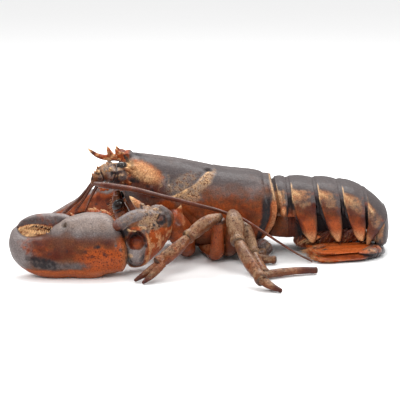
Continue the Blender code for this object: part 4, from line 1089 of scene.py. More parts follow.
def make_fan_plate(name, rows, lean, side, nodes, seed, shade=0):
    """A thin fan plate with ribs, a thick edge and a bristle fringe at its free end."""
    sizes = bpy.context.scene.lobster_sizes
    rows = [(x, y*side, z, w, 0.85) for x, y, z, w in rows]
    up = (0, -side*math.sin(math.radians(lean)), math.cos(math.radians(lean)))
    grid = tube(rows, 110, 84, up, 2.4)
    if lean == 0:
        grid[..., 2] = most(grid[..., 2], 0)
    share, angle = steps_of(grid)
    across = np.cos(angle)
    top = np.sin(angle)
    rib = peak(across, 0.1) + 0.6*peak(np.abs(across) - 0.45, 0.07)
    rays = np.sin(across*42 + 2*noise(grid, 9, seed))*ramp(0.62, 0.86, share)
    amount = ((0.4*rib*ramp(1, 0.7, share) + 0.22*rays)*np.abs(top)**0.5*(top > 0) + 0.06*rough(grid, 2, seed))
    amount += 0.25*rays*ramp(0.7, 0.95, np.abs(across))
    grid = raised(grid, amount)
    edge = ramp(0.86, 0.98, np.abs(across))
    outer = ramp(0.7, 0.96, across*side)
    end = ramp(0.8, 1, share)
    mottle = noise(grid*(0.3, 1, 1), 3, seed + 1)
    # A plate lying under another is painted darker by its shade, most towards the root; every plate's underside and
    # its outer edge are painted darker as shade.
    marks = {
        "warm": 0.98 - 0.4*ramp(0.25, 0, share) - 0.35*shade + 0.15*mottle,
        "deep": most(0.6*ramp(0.2, 0, share), 0.7*(top < -0.2), 0.5*shade + 0.2*mottle, 0.5*end*(rays < 0),
            0.75*outer),
        "pale": most(0.5*end*(rays > 0.1), 0.12 + 0.12*mottle - 0.1*shade),
        "dark": 0.7*ramp(0.14, 0.02, share) + 0.95*shade*ramp(0.4, 0.14, share + 0.06*mottle)
        + 0.5*edge*ramp(0.25, 0, share) + (0.2 + 0.75*shade)*outer,
        "speck": 0.15 + 0.2*noise(grid, 5, seed)
    }
    obj = skin(name, grid, 0.6, 0.6, marks)
    wear(obj, "shell_fan", *nodes)
    ring = tube(rows, 90, 200, up, 2.4)
    draw = np.random.default_rng(seed)
    hairs = []
    centre = np.array(rows[-1][:3]) + np.array([12, 0, 0])
    for i in range(60, 90):
        for j in range(200):
            edge_on = abs(math.cos(2*math.pi*j/200)) > 0.93
            if (edge_on and draw.random() < 0.7) or i > 87:
                aim = unit(ring[i, j] - centre)*(1, 1, 0.4) + (draw.random(3) - 0.5)*0.35
                tall = sizes.fringe/MM*(0.25 + 0.75*(i - 60)/30)*(0.7 + 0.5*draw.random())
                hairs.append((ring[i, j], aim, 0.17, tall))
    fringe = spikes(name + "_fringe", "shell_fan", hairs, bend=0.2, uneven=0.3, sides=4, steps=3, seed=seed)
    clump = noise(places(fringe)[0], 2.5, seed)
    share = along_marks(fringe, pale=(0.1, 0.75), warm=(0.9, 0.8), deep=(0.5, 0))
    mark(fringe, deep=0.7*ramp(0.1, 0.5, clump), pale=0.7*share*ramp(0.3, -0.2, clump))
    wear(fringe, "shell_fan")
    return obj


def make_fan():
    """Telson, both plates of each side, the fan's root and all their fringes."""
    # The telson is painted half in shade and the lower plates fully, as they lie under others.
    make_fan_plate("telson_plate", TELSON, 0, 1, ("telson",), 61, 0.5)
    for name, side in SIDES.items():
        for which, (lean, rows) in UROPODS.items():
            nodes = ("fan_%s_%s" % (which, name),)
            shade = float(which == "lower")
            make_fan_plate("fan_%s_plate_%s" % (which, name), rows, lean, side, nodes, 63 + side, shade)
        grid = tube(mirrored(FAN_ROOT, side), 70, 56)
        share, angle = steps_of(grid)
        mottle = noise(grid, 2.6, 71)
        crease = peak(share - 0.45 + 0.04*np.cos(angle), 0.03)
        grid = raised(grid, 0.35*np.sin(3*angle)*np.sin(math.pi*share) + 0.15*rough(grid, 2, 70) - 0.5*crease
            + 0.3*most(0, mottle))
        high = outward(grid)[..., 2]
        # The root is painted lighter on top as a sheen and near black underneath as shade.
        marks = {
            "olive": 0.45*ramp(-0.2, 0.6, high) + 0.5*mottle, "cool": 0.75,
            "mist": 0.12*ramp(-0.1, 0.7, high) + 0.4*noise(grid, 1.8, 72),
            "dark": most(0.95*ramp(0.4, 0.24, share), 0.9*ramp(0.1, -0.5, high), 0.85*crease,
                0.5*ramp(0.3, 0.6, mottle)),
            "warm": 0.35 + 0.5*noise(grid, 3.4, 73), "pale": 0.15*ramp(0.5, 1, high)*ramp(0.3, 0.6, share),
            "speck": 0.1
        }
        wear(skin("fan_root_" + name, grid, 1.2, 1, marks), "shell_fan")
        # Golden bristles lie in bundles over the free ends of the plates.
        draw = np.random.default_rng(67)
        hairs = []
        flip = (1, -side, 1)
        for first, last, aim, longest, count in FAN_BRISTLES:
            for a, b in draw.random((count, 2)):
                place = np.array(first) + np.subtract(last, first)*a + (draw.random(3) - 0.5)*(2, 1.6, 1.4)
                hairs.append((place*flip, np.array(aim)*flip + (draw.random(3) - 0.5)*(0.1, 0.25, 0.22),
                        0.16 + 0.14*b, longest*(0.55 + 0.45*draw.random())))
        hair = spikes("fan_bristles_" + name, "shell_fan", hairs, bend=0.12, fullness=0.8, uneven=0.2, sides=5,
            steps=4, seed=14)
        along_marks(hair, warm=(0.9, 0.7), flame=(0.3, 0.5), pale=(0.15, 0.75), deep=(0.4, 0.2))
        clump = noise(places(hair)[0], 1.6, 68)
        mark(hair, deep=0.3 + 0.7*ramp(0, 0.3, clump), dark=0.7*ramp(0.25, 0.5, clump))
        wear(hair, "shell_fan")


def make_swimmerets():
    """Soft paddles under the tail, two blades to each, and brushes of bristles between them and the fan."""
    for number, (x, z, lean, size) in SWIMMERETS.items():
        for name, side in SIDES.items():
            blades = []
            for turn, back, inset in ((1, 0, 0), (0.35, 3.2, 1.1), (1.7, -2.6, 1.9)):
                rows = [(x + back*size + ahead*lean*size*turn, -side*(16.4 - inset - 0.2*down),
                        max(z - down*size, 2.4), wide*size*0.8, 0.6) for ahead, down, wide in SWIMMERET]
                grid = tube(rows, 44, 36, (0, 1, 0))
                share, angle = steps_of(grid)
                across = np.cos(angle)
                amount = 0.35*peak(across, 0.14) + 0.12*np.sin(across*20)*ramp(0.3, 0.8, share)
                grid = raised(grid, amount + 0.1*rough(grid, 1.6, number))
                # The mist and cream along each blade's edges are painted highlights.
                marks = {
                    "mist": 0.6*ramp(0.75, 0.95, np.abs(across)), "warm": 0.45 + 0.4*noise(grid, 2, number),
                    "deep": 0.85 - 0.3*share + 0.3*noise(grid, 2, number + 7),
                    "pale": 0.45*ramp(0.8, 1, np.abs(across))*ramp(0, 0.4, noise(grid, 2, number + 3)),
                    "dark": 0.45*ramp(0.3, 0, share)
                }
                blades.append(skin("blade", grid, 0.4, 0.4, marks))
            obj = joined("swimmeret_blade_%s_%d" % (name, number), blades)
            wear(obj, "underside", "swimmeret_%s_%d" % (name, number))
    for name, side in SIDES.items():
        draw = np.random.default_rng(83)
        hairs = []
        for _ in range(130):
            x = 59 + 49*draw.random()
            low = np.interp(x, [54, 62, 80, 100, 108], [9, 10, 11, 11.4, 12])
            hairs.append(((x, -side*(14.6 + 3.2*draw.random()), low + 5.5*draw.random()),
                    (-1 + 1.1*draw.random(), -side*0.35*draw.random(), -0.9 + 0.5*draw.random()),
                    0.22 + 0.28*draw.random(), 2.6 + 2.4*draw.random()))
        hair = spikes("tail_brush_" + name, "underside", hairs, bend=0.35, fullness=0.7, uneven=0.3, sides=5, steps=4,
            seed=12)
        along_marks(hair, deep=(0.95, 0.6), warm=(0.3, 0.6), pale=(-0.3, 0.45))
        wear(hair, "underside")


def on_claw(x, up, out, side):
    """The place of a point given in a claw's own plane."""
    y = CLAW_EDGE[0] + CLAW_LEAN[0]*up - CLAW_LEAN[1]*out
    z = CLAW_EDGE[1] + CLAW_LEAN[1]*up + CLAW_LEAN[0]*out
    return (x, y*side, z)


def claw_way(x, up, out, side):
    """A direction given in a claw's own plane."""
    return np.subtract(on_claw(x, up, out, side), on_claw(0, 0, 0, side))


def claw_grid(rows, side, rings, sides, power):
    placed = [(*on_claw(x, up, 0, side), thick, high) for x, up, high, thick in rows]
    return tube(placed, rings, sides, (0, CLAW_LEAN[0]*side, CLAW_LEAN[1]), power, CLAW_SQUARE)


def in_claw(points, side):
    """x, distance up the claw's plane and distance out of it."""
    y, z = points[..., 1]*side - CLAW_EDGE[0], points[..., 2] - CLAW_EDGE[1]
    return points[..., 0], y*CLAW_LEAN[0] + z*CLAW_LEAN[1], -y*CLAW_LEAN[1] + z*CLAW_LEAN[0]


def claw_marks(points, side, shift=0):
    """Colours of a palm: slate top and tip, orange towards the wrist, a sooty smudge and a warm lower edge."""
    x = points[..., 0] + shift
    z = points[..., 2]
    moved = np.stack([x, points[..., 1], z], -1)
    wave = noise(points, 6, 31)
    small = noise(points, 2.4, 32)
    top = ramp(19, 29, z + 2.5*wave + 0.05*(x + 70))
    end = ramp(-88, -103, x + 2.5*wave)
    orange = ramp(-80, -56, x + 9*wave)*ramp(24, 14, z + 4*wave + 2*small)
    smudge = patch(moved, -88, 10, 10.5, 3.8, -14)
    lower = ramp(7.4, 5, z + 0.8*wave)*ramp(-104, -97, x)
    red = patch(moved, -91.5, 17.6, 11, 4.6, -10)
    line = peak(z - 8.8, 2.6)*ramp(-98, -90, x)*ramp(-56, -70, x)
    orange = orange*(1 - 0.75*line)
    rib = patch(moved, -80, 20, 3.4, 8, 10)
    inner = ramp(2, -4, in_claw(points, side)[2])
    cool = most(0.95*top, 0.95*end, 0.8*line, 0.3*rib, 0.7*smudge)*(1 - 0.9*lower)
    crest = patch(points, -60.5, 28.5, 6, 4.6)*(side < 0)
    far = inner*(1 - crest)*(1 if side < 0 else ramp(31, 26, z))
    # The mist and cream that grow up the palm's top are partly its grey shell and partly a painted sheen of the
    # overhead light.
    return {
        "cool": most(cool*(1 - 0.97*far), 0.9*crest),
        "mist": most(0.74*ramp(19, 33, z + 2*wave), 0.66*end, 0.35*line*(1 - orange), 0.1*rib, 0.25*smudge, crest)
        *(1 - far),
        "flame": most(0.42*lower, 0.8*ramp(-62, -47, x)*ramp(26, 18, z))*(1 - far),
        "warm": most(orange*(0.92 + 0.2*small), 0.98*lower, (0.45 + 0.3*small)*red, 0.98*far),
        "deep": most(0.4*red, (0.62 + 0.25*wave)*ramp(27, 21, z)*ramp(10, 14, z)*(1 - 0.8*orange)*(1 - end),
            0.46*far),
        "dark": most(0.72*smudge, 0.35*line*(1 - orange), 0.62*ramp(0.1, 0.5, small)*ramp(-80, -60, x)*ramp(10, 16, z)
            *ramp(24, 20, z)*(1 - end), 0.45*ramp(0.1, 0.6, noise(points, 3.2, 34))*ramp(24, 20, z)*ramp(13, 16, z)
            *(1 - end)),
        "olive": 0.1*top,
        "pale": most(0.14*lower, 0.17*top*ramp(22, 30, z), 0.2*orange*ramp(9, 3, z)),
        "speck": most(0.98*orange*ramp(4, 8, z), 0.6*red, 0.06*top)
    }


def make_claw(name, side, kind):
    """Palm and moving finger of one claw with their spines, teeth, hinge and bristles."""
    sizes = bpy.context.scene.lobster_sizes
    shift = 0 if kind["blunt"] else -6
    grid = claw_grid(kind["palm"], side, 200, 150, 2.3)
    grid[..., 2] = most(grid[..., 2], 0)
    x, up, out = in_claw(grid, side)
    end = kind["palm"][0][0]
    hinge_x, hinge_up = kind["finger"][0][:2]
    hinge = peak(x - hinge_x, 4, up - hinge_up + 2, 3.5)*(out > -3)
    rim = peak(end - 1.6 - x, 1) - 0.8*peak(end - 4.2 - x, 1.2)
    ground = ramp(0, 1.2, grid[..., 2])
    seam = peak(up - 14 - 0.1*(x + 76), 1.6)*ramp(-78, -84, x)*(out > 0)
    amount = 0.9*hinge + 0.08*rim
    amount -= 1.3*peak(x - hinge_x + 1.6, 1.7, up - hinge_up + 4.6, 1.6)*(out > 0)
    amount += 0.3*noise(grid, 11, 3) + 0.12*noise(grid, 4, 4)
    amount += sizes.grain/MM*rough(grid, 1.5, 5) - 0.3*seam
    grid = raised(grid, amount*ground)
    grid[..., 2] = most(grid[..., 2], 0)
    marks = claw_marks(grid, side, shift)
    notch = peak(x - hinge_x + 1.6, 2, up - hinge_up + 4.6, 1.8)*(out > 0)
    cuff = ramp(4.2, 1.6, end - x)*ramp(24, 18, grid[..., 2])
    # The hinge's bulge is painted pale as a highlight.
    added = {
        "dark": most(0.95*notch, 0.6*ramp(1, 0.2, end - x)), "mist": 0.8*hinge*(1 - notch), "pale": 0.22*cuff,
        "flame": 0.7*cuff, "warm": 0.9*cuff
    }
    for key, value in added.items():
        marks[key] = most(marks[key], value)
    palm = skin("claw_palm_" + name, grid, 1, 0.4, marks)
    wear(palm, "shell_claw", "claw_%s_palm" % name)

    draw = np.random.default_rng(17)
    spines = []
    first, last = kind["spines"]
    stands = [(first + (last - first)*k/8, 0, 1) for k in range(9) if k not in (3, 6)]
    stands.append((hinge_x + 1.5, 0, 0.75))
    stands += [(first - 1.5 + (last - first)*k/4, 1, 0.6) for k in range(4)]
    for place, across, size in stands:
        near = np.abs(x - place - 0.6*draw.random()) < 0.6
        high = np.where(near, up - 0.5*np.abs(out - 4.5*across), -99)
        i, j = np.unravel_index(np.argmax(high), high.shape)
        spines.append((grid[i, j], claw_way(-2, 3, 0.6 + 1.6*across, side), 1.35*size*(0.85 + 0.3*draw.random()),
                sizes.claw_spine/MM*size*(0.8 + 0.35*draw.random())))
    spine = spikes("claw_spines_" + name, "shell_claw", spines, (-1, 0, 0), bend=0.35, fullness=1, flare=0.6,
        sides=12, steps=9, uneven=0.1, seed=2)
    along_marks(spine, warm=(0.8, 1), flame=(0.2, 0.8), pale=(-0.1, 0.9), cool=(0.4, -0.6), speck=(0.3, 0))
    wear(spine, "shell_claw")

    grid = claw_grid(kind["finger"], side, 110, 96, 2.2)
    x, up, out = in_claw(grid, side)
    root = kind["finger"][0][0]
    notch = peak(x - root + 1.6, 1.4, up - kind["finger"][0][1] + 0.8, 1.5)*(out > 2)
    amount = 0.25*noise(grid, 6, 13) + 0.08*rough(grid, 1.6, 14) - 1.2*notch
    grid = raised(grid, amount)
    share, angle = steps_of(grid)
    streak = noise(grid*(0.35, 1, 1.6), 2.4, 15)
    low = ramp(-0.1, -0.8, np.sin(angle))
    far = ramp(1, -3, out)*(side < 0)
    # The finger is painted paler on top as a sheen of the overhead light, and warmer and darker underneath as shade.
    finger_marks = {
        "cool": (0.95 - 0.25*ramp(0.2, 0.7, streak))*(1 - 0.8*far),
        "warm": 0.14 + 0.2*noise(grid, 4, 16) + 0.2*low + 0.5*far,
        "mist": (0.9*ramp(-0.3, 0.8, np.sin(angle)) + 0.22*streak + 0.25*ramp(0.15, 0, share))*(1 - 0.8*far),
        "deep": 0.3*low + 0.3*ramp(0.1, 0.7, noise(grid, 5, 19)) + 0.2*far,
        "speck": 0.3, "pale": 0.1*ramp(0.3, 1, np.sin(angle)),
        "dark": most(0.98*notch, (0.3*ramp(0.2, 0.6, noise(grid, 3, 18)) + 0.2*low)*(1 - far))
    }
    wear(skin("claw_finger_" + name, grid, 1.4, 0.3, finger_marks), "shell_claw", "claw_%s_finger" % name)
    make_teeth(name, side, kind)


def make_teeth(name, side, kind):
    """Tooth ridge and rows of blunt teeth on the fixed finger, and rows of bristles under the moving one."""
    sizes = bpy.context.scene.lobster_sizes
    tooth = sizes.tooth/MM*(1 if kind["blunt"] else 0.6)
    draw = np.random.default_rng(23)
    rows = [(x, up, high + (2.2 if kind["blunt"] else 0.3), thick + 0.5) for x, up, high, thick in kind["bed"]]
    bed = claw_grid(rows, side, 60, 40, 2.4)
    bed = raised(bed, 0.25*rough(bed, 2, 27))
    # The ridge is painted paler towards the finger's tip as a highlight.
    ridge = skin("claw_tooth_ridge_" + name, bed, 0.6, 0.6, {
        "deep": 0.55 + 0.2*noise(bed, 1.5, 26), "dark": 0.3 + 0.4*noise(bed, 1.3, 28), "warm": 0.8, "flame": 0.3,
        "pale": 0.15 + 0.45*noise(bed, 1.2, 29) + 0.4*ramp(-90, -97, bed[..., 0])
    })
    wear(ridge, "shell_claw")
    bed = smooth_rows([(x, 0, up, high, thick) for x, up, high, thick in kind["bed"]], 30)
    teeth = []
    for row, (out, above, least) in enumerate(TOOTH_ROWS[:5 if kind["blunt"] else 2]):
        for k, (x, _, up, high, thick) in enumerate(bed[1:-1]):
            if row == 0 and k % 2:
                continue
            size = tooth*(0.5 + 0.5*math.sin(math.pi*(k + 1)/30))*(0.7 + 0.5*draw.random())*least
            place = on_claw(x + 0.7*draw.random(), up + 1.3 + high*above, out*(thick + 0.4)/3.4, side)
            teeth.append((place, claw_way(-0.15, 1, 0.16*row, side), size*0.52, size*1.1 + high*0.2))
    lower = spikes("claw_teeth_" + name, "shell_claw", teeth, (1, 0, 0), bend=0.05, fullness=0.45, sides=10, steps=8,
        uneven=0.2, seed=4)
    share = along_marks(lower, pale=(0.1, 1.15), warm=(0.95, 0.9), flame=(0.4, 0.4), deep=(0.6, -0.5))
    # Towards the finger's tip the teeth carry a painted cream highlight.
    bright = ramp(-88, -96, places(lower)[0][:, 0])
    mark(lower, pale=0.3 + 0.9*share + 0.5*bright, deep=(0.5 - 1.1*share)*(1 - bright))
    wear(lower, "shell_claw")
    finger = smooth_rows([(x, 0, up, high, thick) for x, up, high, thick in kind["finger"]], 54)
    hairs = []
    scale = 1 if kind["blunt"] else 0.55
    for x, _, up, high, thick in finger[8:-2]:
        for out in (-0.5, -0.15, 0.2, 0.5, 0.8):
            under = up - high*math.sqrt(1 - out*out)*0.95
            hairs.append((on_claw(x + 0.5*draw.random(), under, out*thick, side),
                    claw_way(-0.55 + 0.3*draw.random(), -1, 0.45*out, side), (0.26 + 0.26*draw.random())*scale,
                    (1.4 + 2*draw.random())*scale))
    upper = spikes("claw_bristles_" + name, "shell_claw", hairs, (-1, 0, 0), bend=0.3, fullness=0.8, sides=5, steps=4,
        uneven=0.25, seed=6)
    share = along_marks(upper, pale=(0.05, 1.1), warm=(0.95, 0.8), flame=(0.4, 0.4), deep=(0.6, -0.4))
    # Towards the finger's tip the bristles carry a painted cream highlight.
    bright = ramp(-88, -96, places(upper)[0][:, 0])
    mark(upper, pale=-0.2 + 1.2*share + 0.5*bright, deep=(0.8 - share)*(1 - bright))
    wear(upper, "shell_claw")


def near_path(points, rows, side, count=30):
    """Least distance to a line through the places of a limb's rows, and the share along it there."""
    path = smooth_rows(mirrored(rows, side), count)[:, :3]
    d = np.linalg.norm(points[:, None, :] - path[None], axis=2)
    return d.min(axis=1), d.argmin(axis=1)/(count - 1)


def thorn(name, spine, side, middle, thin, end, cap, sizes, up):
    """A spine from its base over a thinner middle to its tip."""
    base, tip, radius = spine
    base, tip = np.array(base)*(1, side, 1), np.array(tip)*(1, side, 1)
    rows = [(*base, radius, radius), (*(base + (tip - base)*middle), radius*thin, radius*thin), (*tip, end, end)]
    return skin(name, tube(rows, *sizes, up), end=cap)


def make_wrist(name, side):
    """Wrist piece with its bumpy face, shoulder, spines, hinge socket and the pale knob in it."""
    parts = [skin("wrist", tube(mirrored(CARPUS, side), 70, 64, power=2.2), 1.5, 0.5)]
    parts.append(skin("shoulder", tube(mirrored(WRIST_SHOULDER, side), 40, 32), 0.5, 0.8))
    parts.append(skin("hinge", tube(mirrored(WRIST_HINGE, side), 44, 22, (0, -side, 0)), 0.4, 0.8))
    for spine in WRIST_SPINES:
        parts.append(thorn("wrist_spine", spine, side, 0.5, 0.62, 0.25, 0.3, (24, 20), (0.3, 0.2, 0.9)))
    whole = fused("claw_wrist_" + name, parts, 0.55, 2)
    carved(whole, skin("socket", tube(mirrored(WRIST_SOCKET, side), 34, 28, (0, -side, 0))), "DIFFERENCE")
    knob = skin("knob", tube(mirrored(WRIST_KNOB, side), 30, 24, (0, -side, 0)), 0.5, 0.5)
    ball = skin("ball", tube(mirrored(WRIST_SKIN, side), 24, 24, (0, -side, 0)), 0.5, 0.5)
    whole = fused("claw_wrist_" + name, [whole, knob, ball], 0.45, 3)
    points, normals = places(whole)
    x, y, z = points[:, 0], points[:, 1]*side, points[:, 2]
    out = normals[:, 1]*side
    from_shoulder, along_shoulder = near_path(points, WRIST_SHOULDER, side)
    from_hinge, along_hinge = near_path(points, WRIST_HINGE, side)
    ring = np.sqrt(((x + 36.4)/6.9)**2 + ((z - 16)/11.6)**2)
    open_side = y < -53
    inside = ramp(1.04, 0.9, ring)*open_side
    blur = noise(points, 2.6, 65)
    ball_zone = inside*ramp(1.25, 0.8, np.hypot((x + 36.6)/4.4, (z - 20.4)/4.6) + 0.16*blur)
    glow = ball_zone*ramp(1.2, 0.5, np.hypot((x + 35.8)/3.4, (z - 18.4)/2.6))
    knob_zone = inside*(1 - ball_zone)*ramp(24, 17, z + 1.2*blur)
    rim = ramp(0.98, 1.05, ring)*ramp(1.26, 1.13, ring)*open_side*ramp(-38.5, -34, x + 0.5*(16 - z))
    shoulder = ramp(5.6, 4.4, from_shoulder)*ramp(0.12, 0.3, along_shoulder)
    hinge = ramp(2.7, 1.7, from_hinge)
    inside_hook = ramp(3.6, 2.4, np.hypot(x + 21.4, z - 31.2))*(1 - hinge)*(y < -42)
    face = ramp(22, 27, z)*ramp(-37.5, -33, x)*ramp(-20.5, -23.5, x)*(1 - shoulder)*(1 - hinge)
    bumps = most(0, noise(points, 2.8, 51))**1.2*1.2 + 0.5*most(0, noise(points, 1.6, 52))
    moved = np.stack([x, y, z], -1)
    amount = 1.35*face*(bumps - 0.25) + 0.5*rim - 1.6*inside_hook + 0.3*hinge
    amount += 0.07*rough(points, 1.4, 53) + 0.2*noise(points, 6, 54)*(1 - inside)
    amount += inside*0.25*rough(points, 3, 58)
    amount += 0.9*patch(moved, -37, 27.6, 4.4, 1.6)*(y < -55)*most(0, noise(points, 2.2, 56))
    push(whole, amount)
    mottle = noise(points, 3, 55)
    fleck = noise(points, 1.8, 59)
    dome = ramp(30, 36, z + 2*mottle)
    lobe = ramp(28, 25, z + mottle)*ramp(-31.5, -29, x - 0.2*(z - 18))*(y < -44)*(1 - hinge)
    lower = ramp(9, 5, z)*(1 - inside)
    lumps = patch(moved, -37, 27.6, 4, 1.6)*(y < -55)*(1 - shoulder)
    # The notch between shoulder and palm and the socket's hollow round the knob and membrane are painted near black as
    # shade.
    notch = patch(moved, -44.2, 25.2, 6, 2.6, 40)*(y < -50)*(1 - shoulder*ramp(-0.4, 0.1, normals[:, 2]))
    spine_tip = ramp(34.5, 38, z)*ramp(-33, -36, x)*(y > -47)
    inner = ramp(-0.2, 0.5, out)
    # The knob is painted with a highlight in its middle and darker round its edges and left side as shade, mixed with
    # brown streaks.
    shine = patch(moved, -37.6, 12.6, 3.6, 4.6)
    # The shoulder and hook are painted paler the more they face up, a sheen of the overhead light; the dome's mist is
    # partly grey shell and partly sheen; the hook's lower end carries a painted highlight.
    mark(whole,
        cool=most(0.85*dome*(1 - spine_tip), 0.95*shoulder*ramp(0.95, 0.7, along_shoulder), 0.6*knob_zone, 0.95*hinge,
            0.4*face*(1 - mottle))*(1 - ball_zone),
        mist=most(0.66*dome*(1 - spine_tip), 0.56*shoulder*ramp(-0.2, 0.6, normals[:, 2]),
            (0.5 + 0.3*mottle + 0.7*shine)*knob_zone,
            0.75*hinge*ramp(0.2, 0.9, normals[:, 2] + 1.1*ramp(0.7, 0.95, along_hinge)), 0.3*face)*(1 - ball_zone),
        olive=most(face*(0.56 + 0.4*mottle), 0.25*dome*(1 - spine_tip), 0.2*(1 - inside)*(1 - lobe)),
        flame=most(lobe*ramp(-0.9, 0.1, mottle), 0.5*rim, 0.6*lumps, 0.7*spine_tip, 0.12*glow),
        warm=most(lobe, 0.65*inner, 0.6*lower, 0.4*knob_zone*ramp(0.2, 0.7, noise(points, 3, 66))*(1 - shine),
            0.3*inside_hook, 0.8*rim, 0.34*shoulder*ramp(0.6, 0.9, along_shoulder), 0.9*spine_tip, 0.3*ball_zone,
            0.66*glow, 0.7*lumps),
        deep=most(0.92*inside*(1 - knob_zone)*(1 - 0.35*glow), 0.45*inner*(1 - lobe), 0.45*inside_hook,
            0.45*shoulder*ramp(0.62, 0.92, along_shoulder), 0.35*lower, 0.4*ramp(-24, -21, x)*ramp(27, 24, z)),
        dark=most(0.95*notch, 0.55*inside*(1 - knob_zone)*(1 - ball_zone),
            0.62*knob_zone*(1 - shine)*ramp(-0.2, 0.4, noise(points, 3, 57)),
            0.6*knob_zone*ramp(-38.4, -41, x + 0.3*(z - 12)),
            0.45*hinge*ramp(0.05, 0.25, along_hinge)*ramp(1, 0.7, along_hinge),
            0.85*inside_hook*ramp(0.6, 2.6, np.hypot(x + 22.2, z - 32.4)), 0.6*knob_zone*ramp(0.78, 0.98, ring),
            0.75*ball_zone*ramp(20, 24, z + blur)*(1 - glow), 0.72*face*ramp(0.15, 0.5, fleck),
            0.6*ramp(0.1, 0, np.abs(ring - 1))*open_side*(x < -37)),
        pale=most(0.52*rim*(0.8 + 0.4*mottle), 0.8*spine_tip*ramp(-36, -40, x), 0.4*spine_tip,
            0.55*knob_zone*shine*ramp(-0.2, 0.6, noise(points, 2.6, 60)), 0.42*lobe*ramp(-0.3, 0.5, fleck),
            0.4*face*ramp(0.15, 0.6, noise(points, 2.8, 51)), 0.85*lumps*ramp(-0.1, 0.4, noise(points, 2.2, 56)),
            0.5*hinge*ramp(0.78, 0.95, along_hinge)),
        speck=most(0.8*face, 0.1*lobe, 0.5*shoulder*ramp(0.5, 0.9, along_shoulder), 0.3*dome))
    wear(whole, "shell_claw", "claw_%s_wrist" % name)

    parts = [skin("arm", tube(mirrored(ARM, side), 70, 56, power=2.2), 1.5, 1.5)]
    parts.append(thorn("arm_spine", ARM_SPINE, side, 0.55, 0.55, 0.2, 0.2, (20, 18), (1, 0, 0)))
    arm = fused("claw_arm_" + name, parts, 0.6, 3)
    points, _ = places(arm)
    from_wrist = np.linalg.norm(points - np.array([-18.5, -39.5*side, 27.6]), axis=1)
    collar = peak(from_wrist - 9, 1.4)
    mottle = noise(points, 4, 63)
    push(arm, 0.5*collar + 0.15*noise(points, 5, 61) + 0.07*rough(points, 1.5, 62))
    tip_zone = ramp(29, 34, points[:, 2])*ramp(-16, -13.5, points[:, 0])
    mark(arm,
        flame=0.8*tip_zone,
        warm=most(0.72 + 0.35*mottle, 0.95*tip_zone),
        deep=0.34 - 0.5*tip_zone + 0.35*noise(points, 7, 64),
        cool=0.6*ramp(8.2, 6, from_wrist)*(1 - tip_zone),
        dark=0.3*ramp(8, 4, points[:, 2]),
        pale=most(0.95*ramp(33, 36, points[:, 2])*tip_zone, 0.25*collar*ramp(0, 0.5, mottle)),
        speck=0.4)
    wear(arm, "shell_claw", "claw_%s_arm" % name)


def leg_grid(rows, rings, sides, up, flare, seed):
    """Rings of one leg piece: a narrow start, a slight swelling and a flared end."""
    grid = tube(rows, rings, sides, up)
    share, angle = steps_of(grid)
    amount = flare*(0.35*peak(share - 0.94, 0.05) - 0.25*peak(share - 0.84, 0.05))
    amount += -0.3*flare*ramp(0.1, 0, share) + 0.22*np.cos(2*angle)**8*ramp(0.1, 0.3, share)
    return raised(grid, amount + 0.1*noise(grid, 3, seed) + 0.05*rough(grid, 1.2, seed + 1)), share


def leg_marks(grid, share, part, seed):
    """Speckled olive on top, orange brown on the sides and dark towards the joints and tips."""
    high = outward(grid)[..., 2]
    top = ramp(-0.3, 0.7, high)
    mottle = noise(grid, 2.6, seed)
    patchy = noise(grid, 6, seed + 1)
    lean = {"merus": 0.46, "wrist": 0.72, "hand": 0.56}[part]
    brown = {"merus": 0.26, "wrist": 0.14, "hand": 0.22}[part]
    joint = most(ramp(0.08, 0, share), 0.8*ramp(0.95, 1, share))
    # The deep red on the undersides is painted shade, and the mist and cream on top are a painted sheen.
    return {
        "olive": lean*(0.35 + 0.65*top) + 0.3*mottle, "warm": brown + 0.3*patchy,
        "deep": 1.4*brown*ramp(0.5, -0.5, high) + 0.3*ramp(0, 0.6, noise(grid, 6, seed + 2)),
        "dark": most(0.75*joint, 0.46*ramp(0.15, 0.6, noise(grid, 1.8, seed + 3))*(0.4 + 0.6*top),
            0.15 + 0.15*patchy),
        "pale": 0.2*top*ramp(0.2, 0.8, noise(grid, 2, seed + 4)) + 0.15*joint,
        "speck": 0.5 + 0.35*top, "mist": 0.2*top*ramp(0.1, 0.6, noise(grid, 4, seed + 5))
    }


def make_leg(number, name, side):
    """One walking leg: upper piece, wrist piece and hand with its pincer or toe."""
    for part in ("merus", "wrist", "hand"):
        rows = mirrored(LEGS[number][part], side)
        up = (1, 0, 0.1) if part == "merus" else (0, 0, 1)
        seed = number*10 + len(part) + (0 if side == 1 else 5)
        grid, share = leg_grid(rows, 72 if part == "merus" else 56, 40, up, 1, seed)
        marks = leg_marks(grid, share, part, seed)
        if number == 5 and part == "merus":
            marks.update(mist=0.9, olive=marks["olive"]*0.4, cool=0.6)
        if number == 2 and part == "merus":
            marks.update(warm=marks["warm"] + 0.4, olive=marks["olive"] + 0.15, deep=marks["deep"]*0.3)
        if number == 2 and part == "hand":
            marks.update(warm=marks["warm"] + 0.1, deep=marks["deep"] + 0.15*ramp(0.3, 0.9, share))
        obj = skin("leg_%s_%s_%d" % (part, name, number), grid, 0.8, 0.6, marks)
        if part == "hand":
            toes = [obj]
            for rows in LEGS[number]["fingers"]:
                toe = tube(mirrored(rows, side), 50, 28)
                toe = raised(toe, 0.08*rough(toe, 1.6, seed + 7))
                share, _ = steps_of(toe)
                values = leg_marks(toe, share*0.9 + 0.05, part, seed + 8)
                values["deep"] = most(values["deep"], 0.8*ramp(0.4, 0.9, share))
                values["dark"] = most(values["dark"], 0.45*ramp(0.5, 1, share))
                toes.append(skin("toe", toe, 0.3, 0.8, values))
            obj = joined(obj.name, toes) if len(toes) > 1 else obj
        wear(obj, "shell_leg", "leg_%s_%d_%s" % (name, number, part))


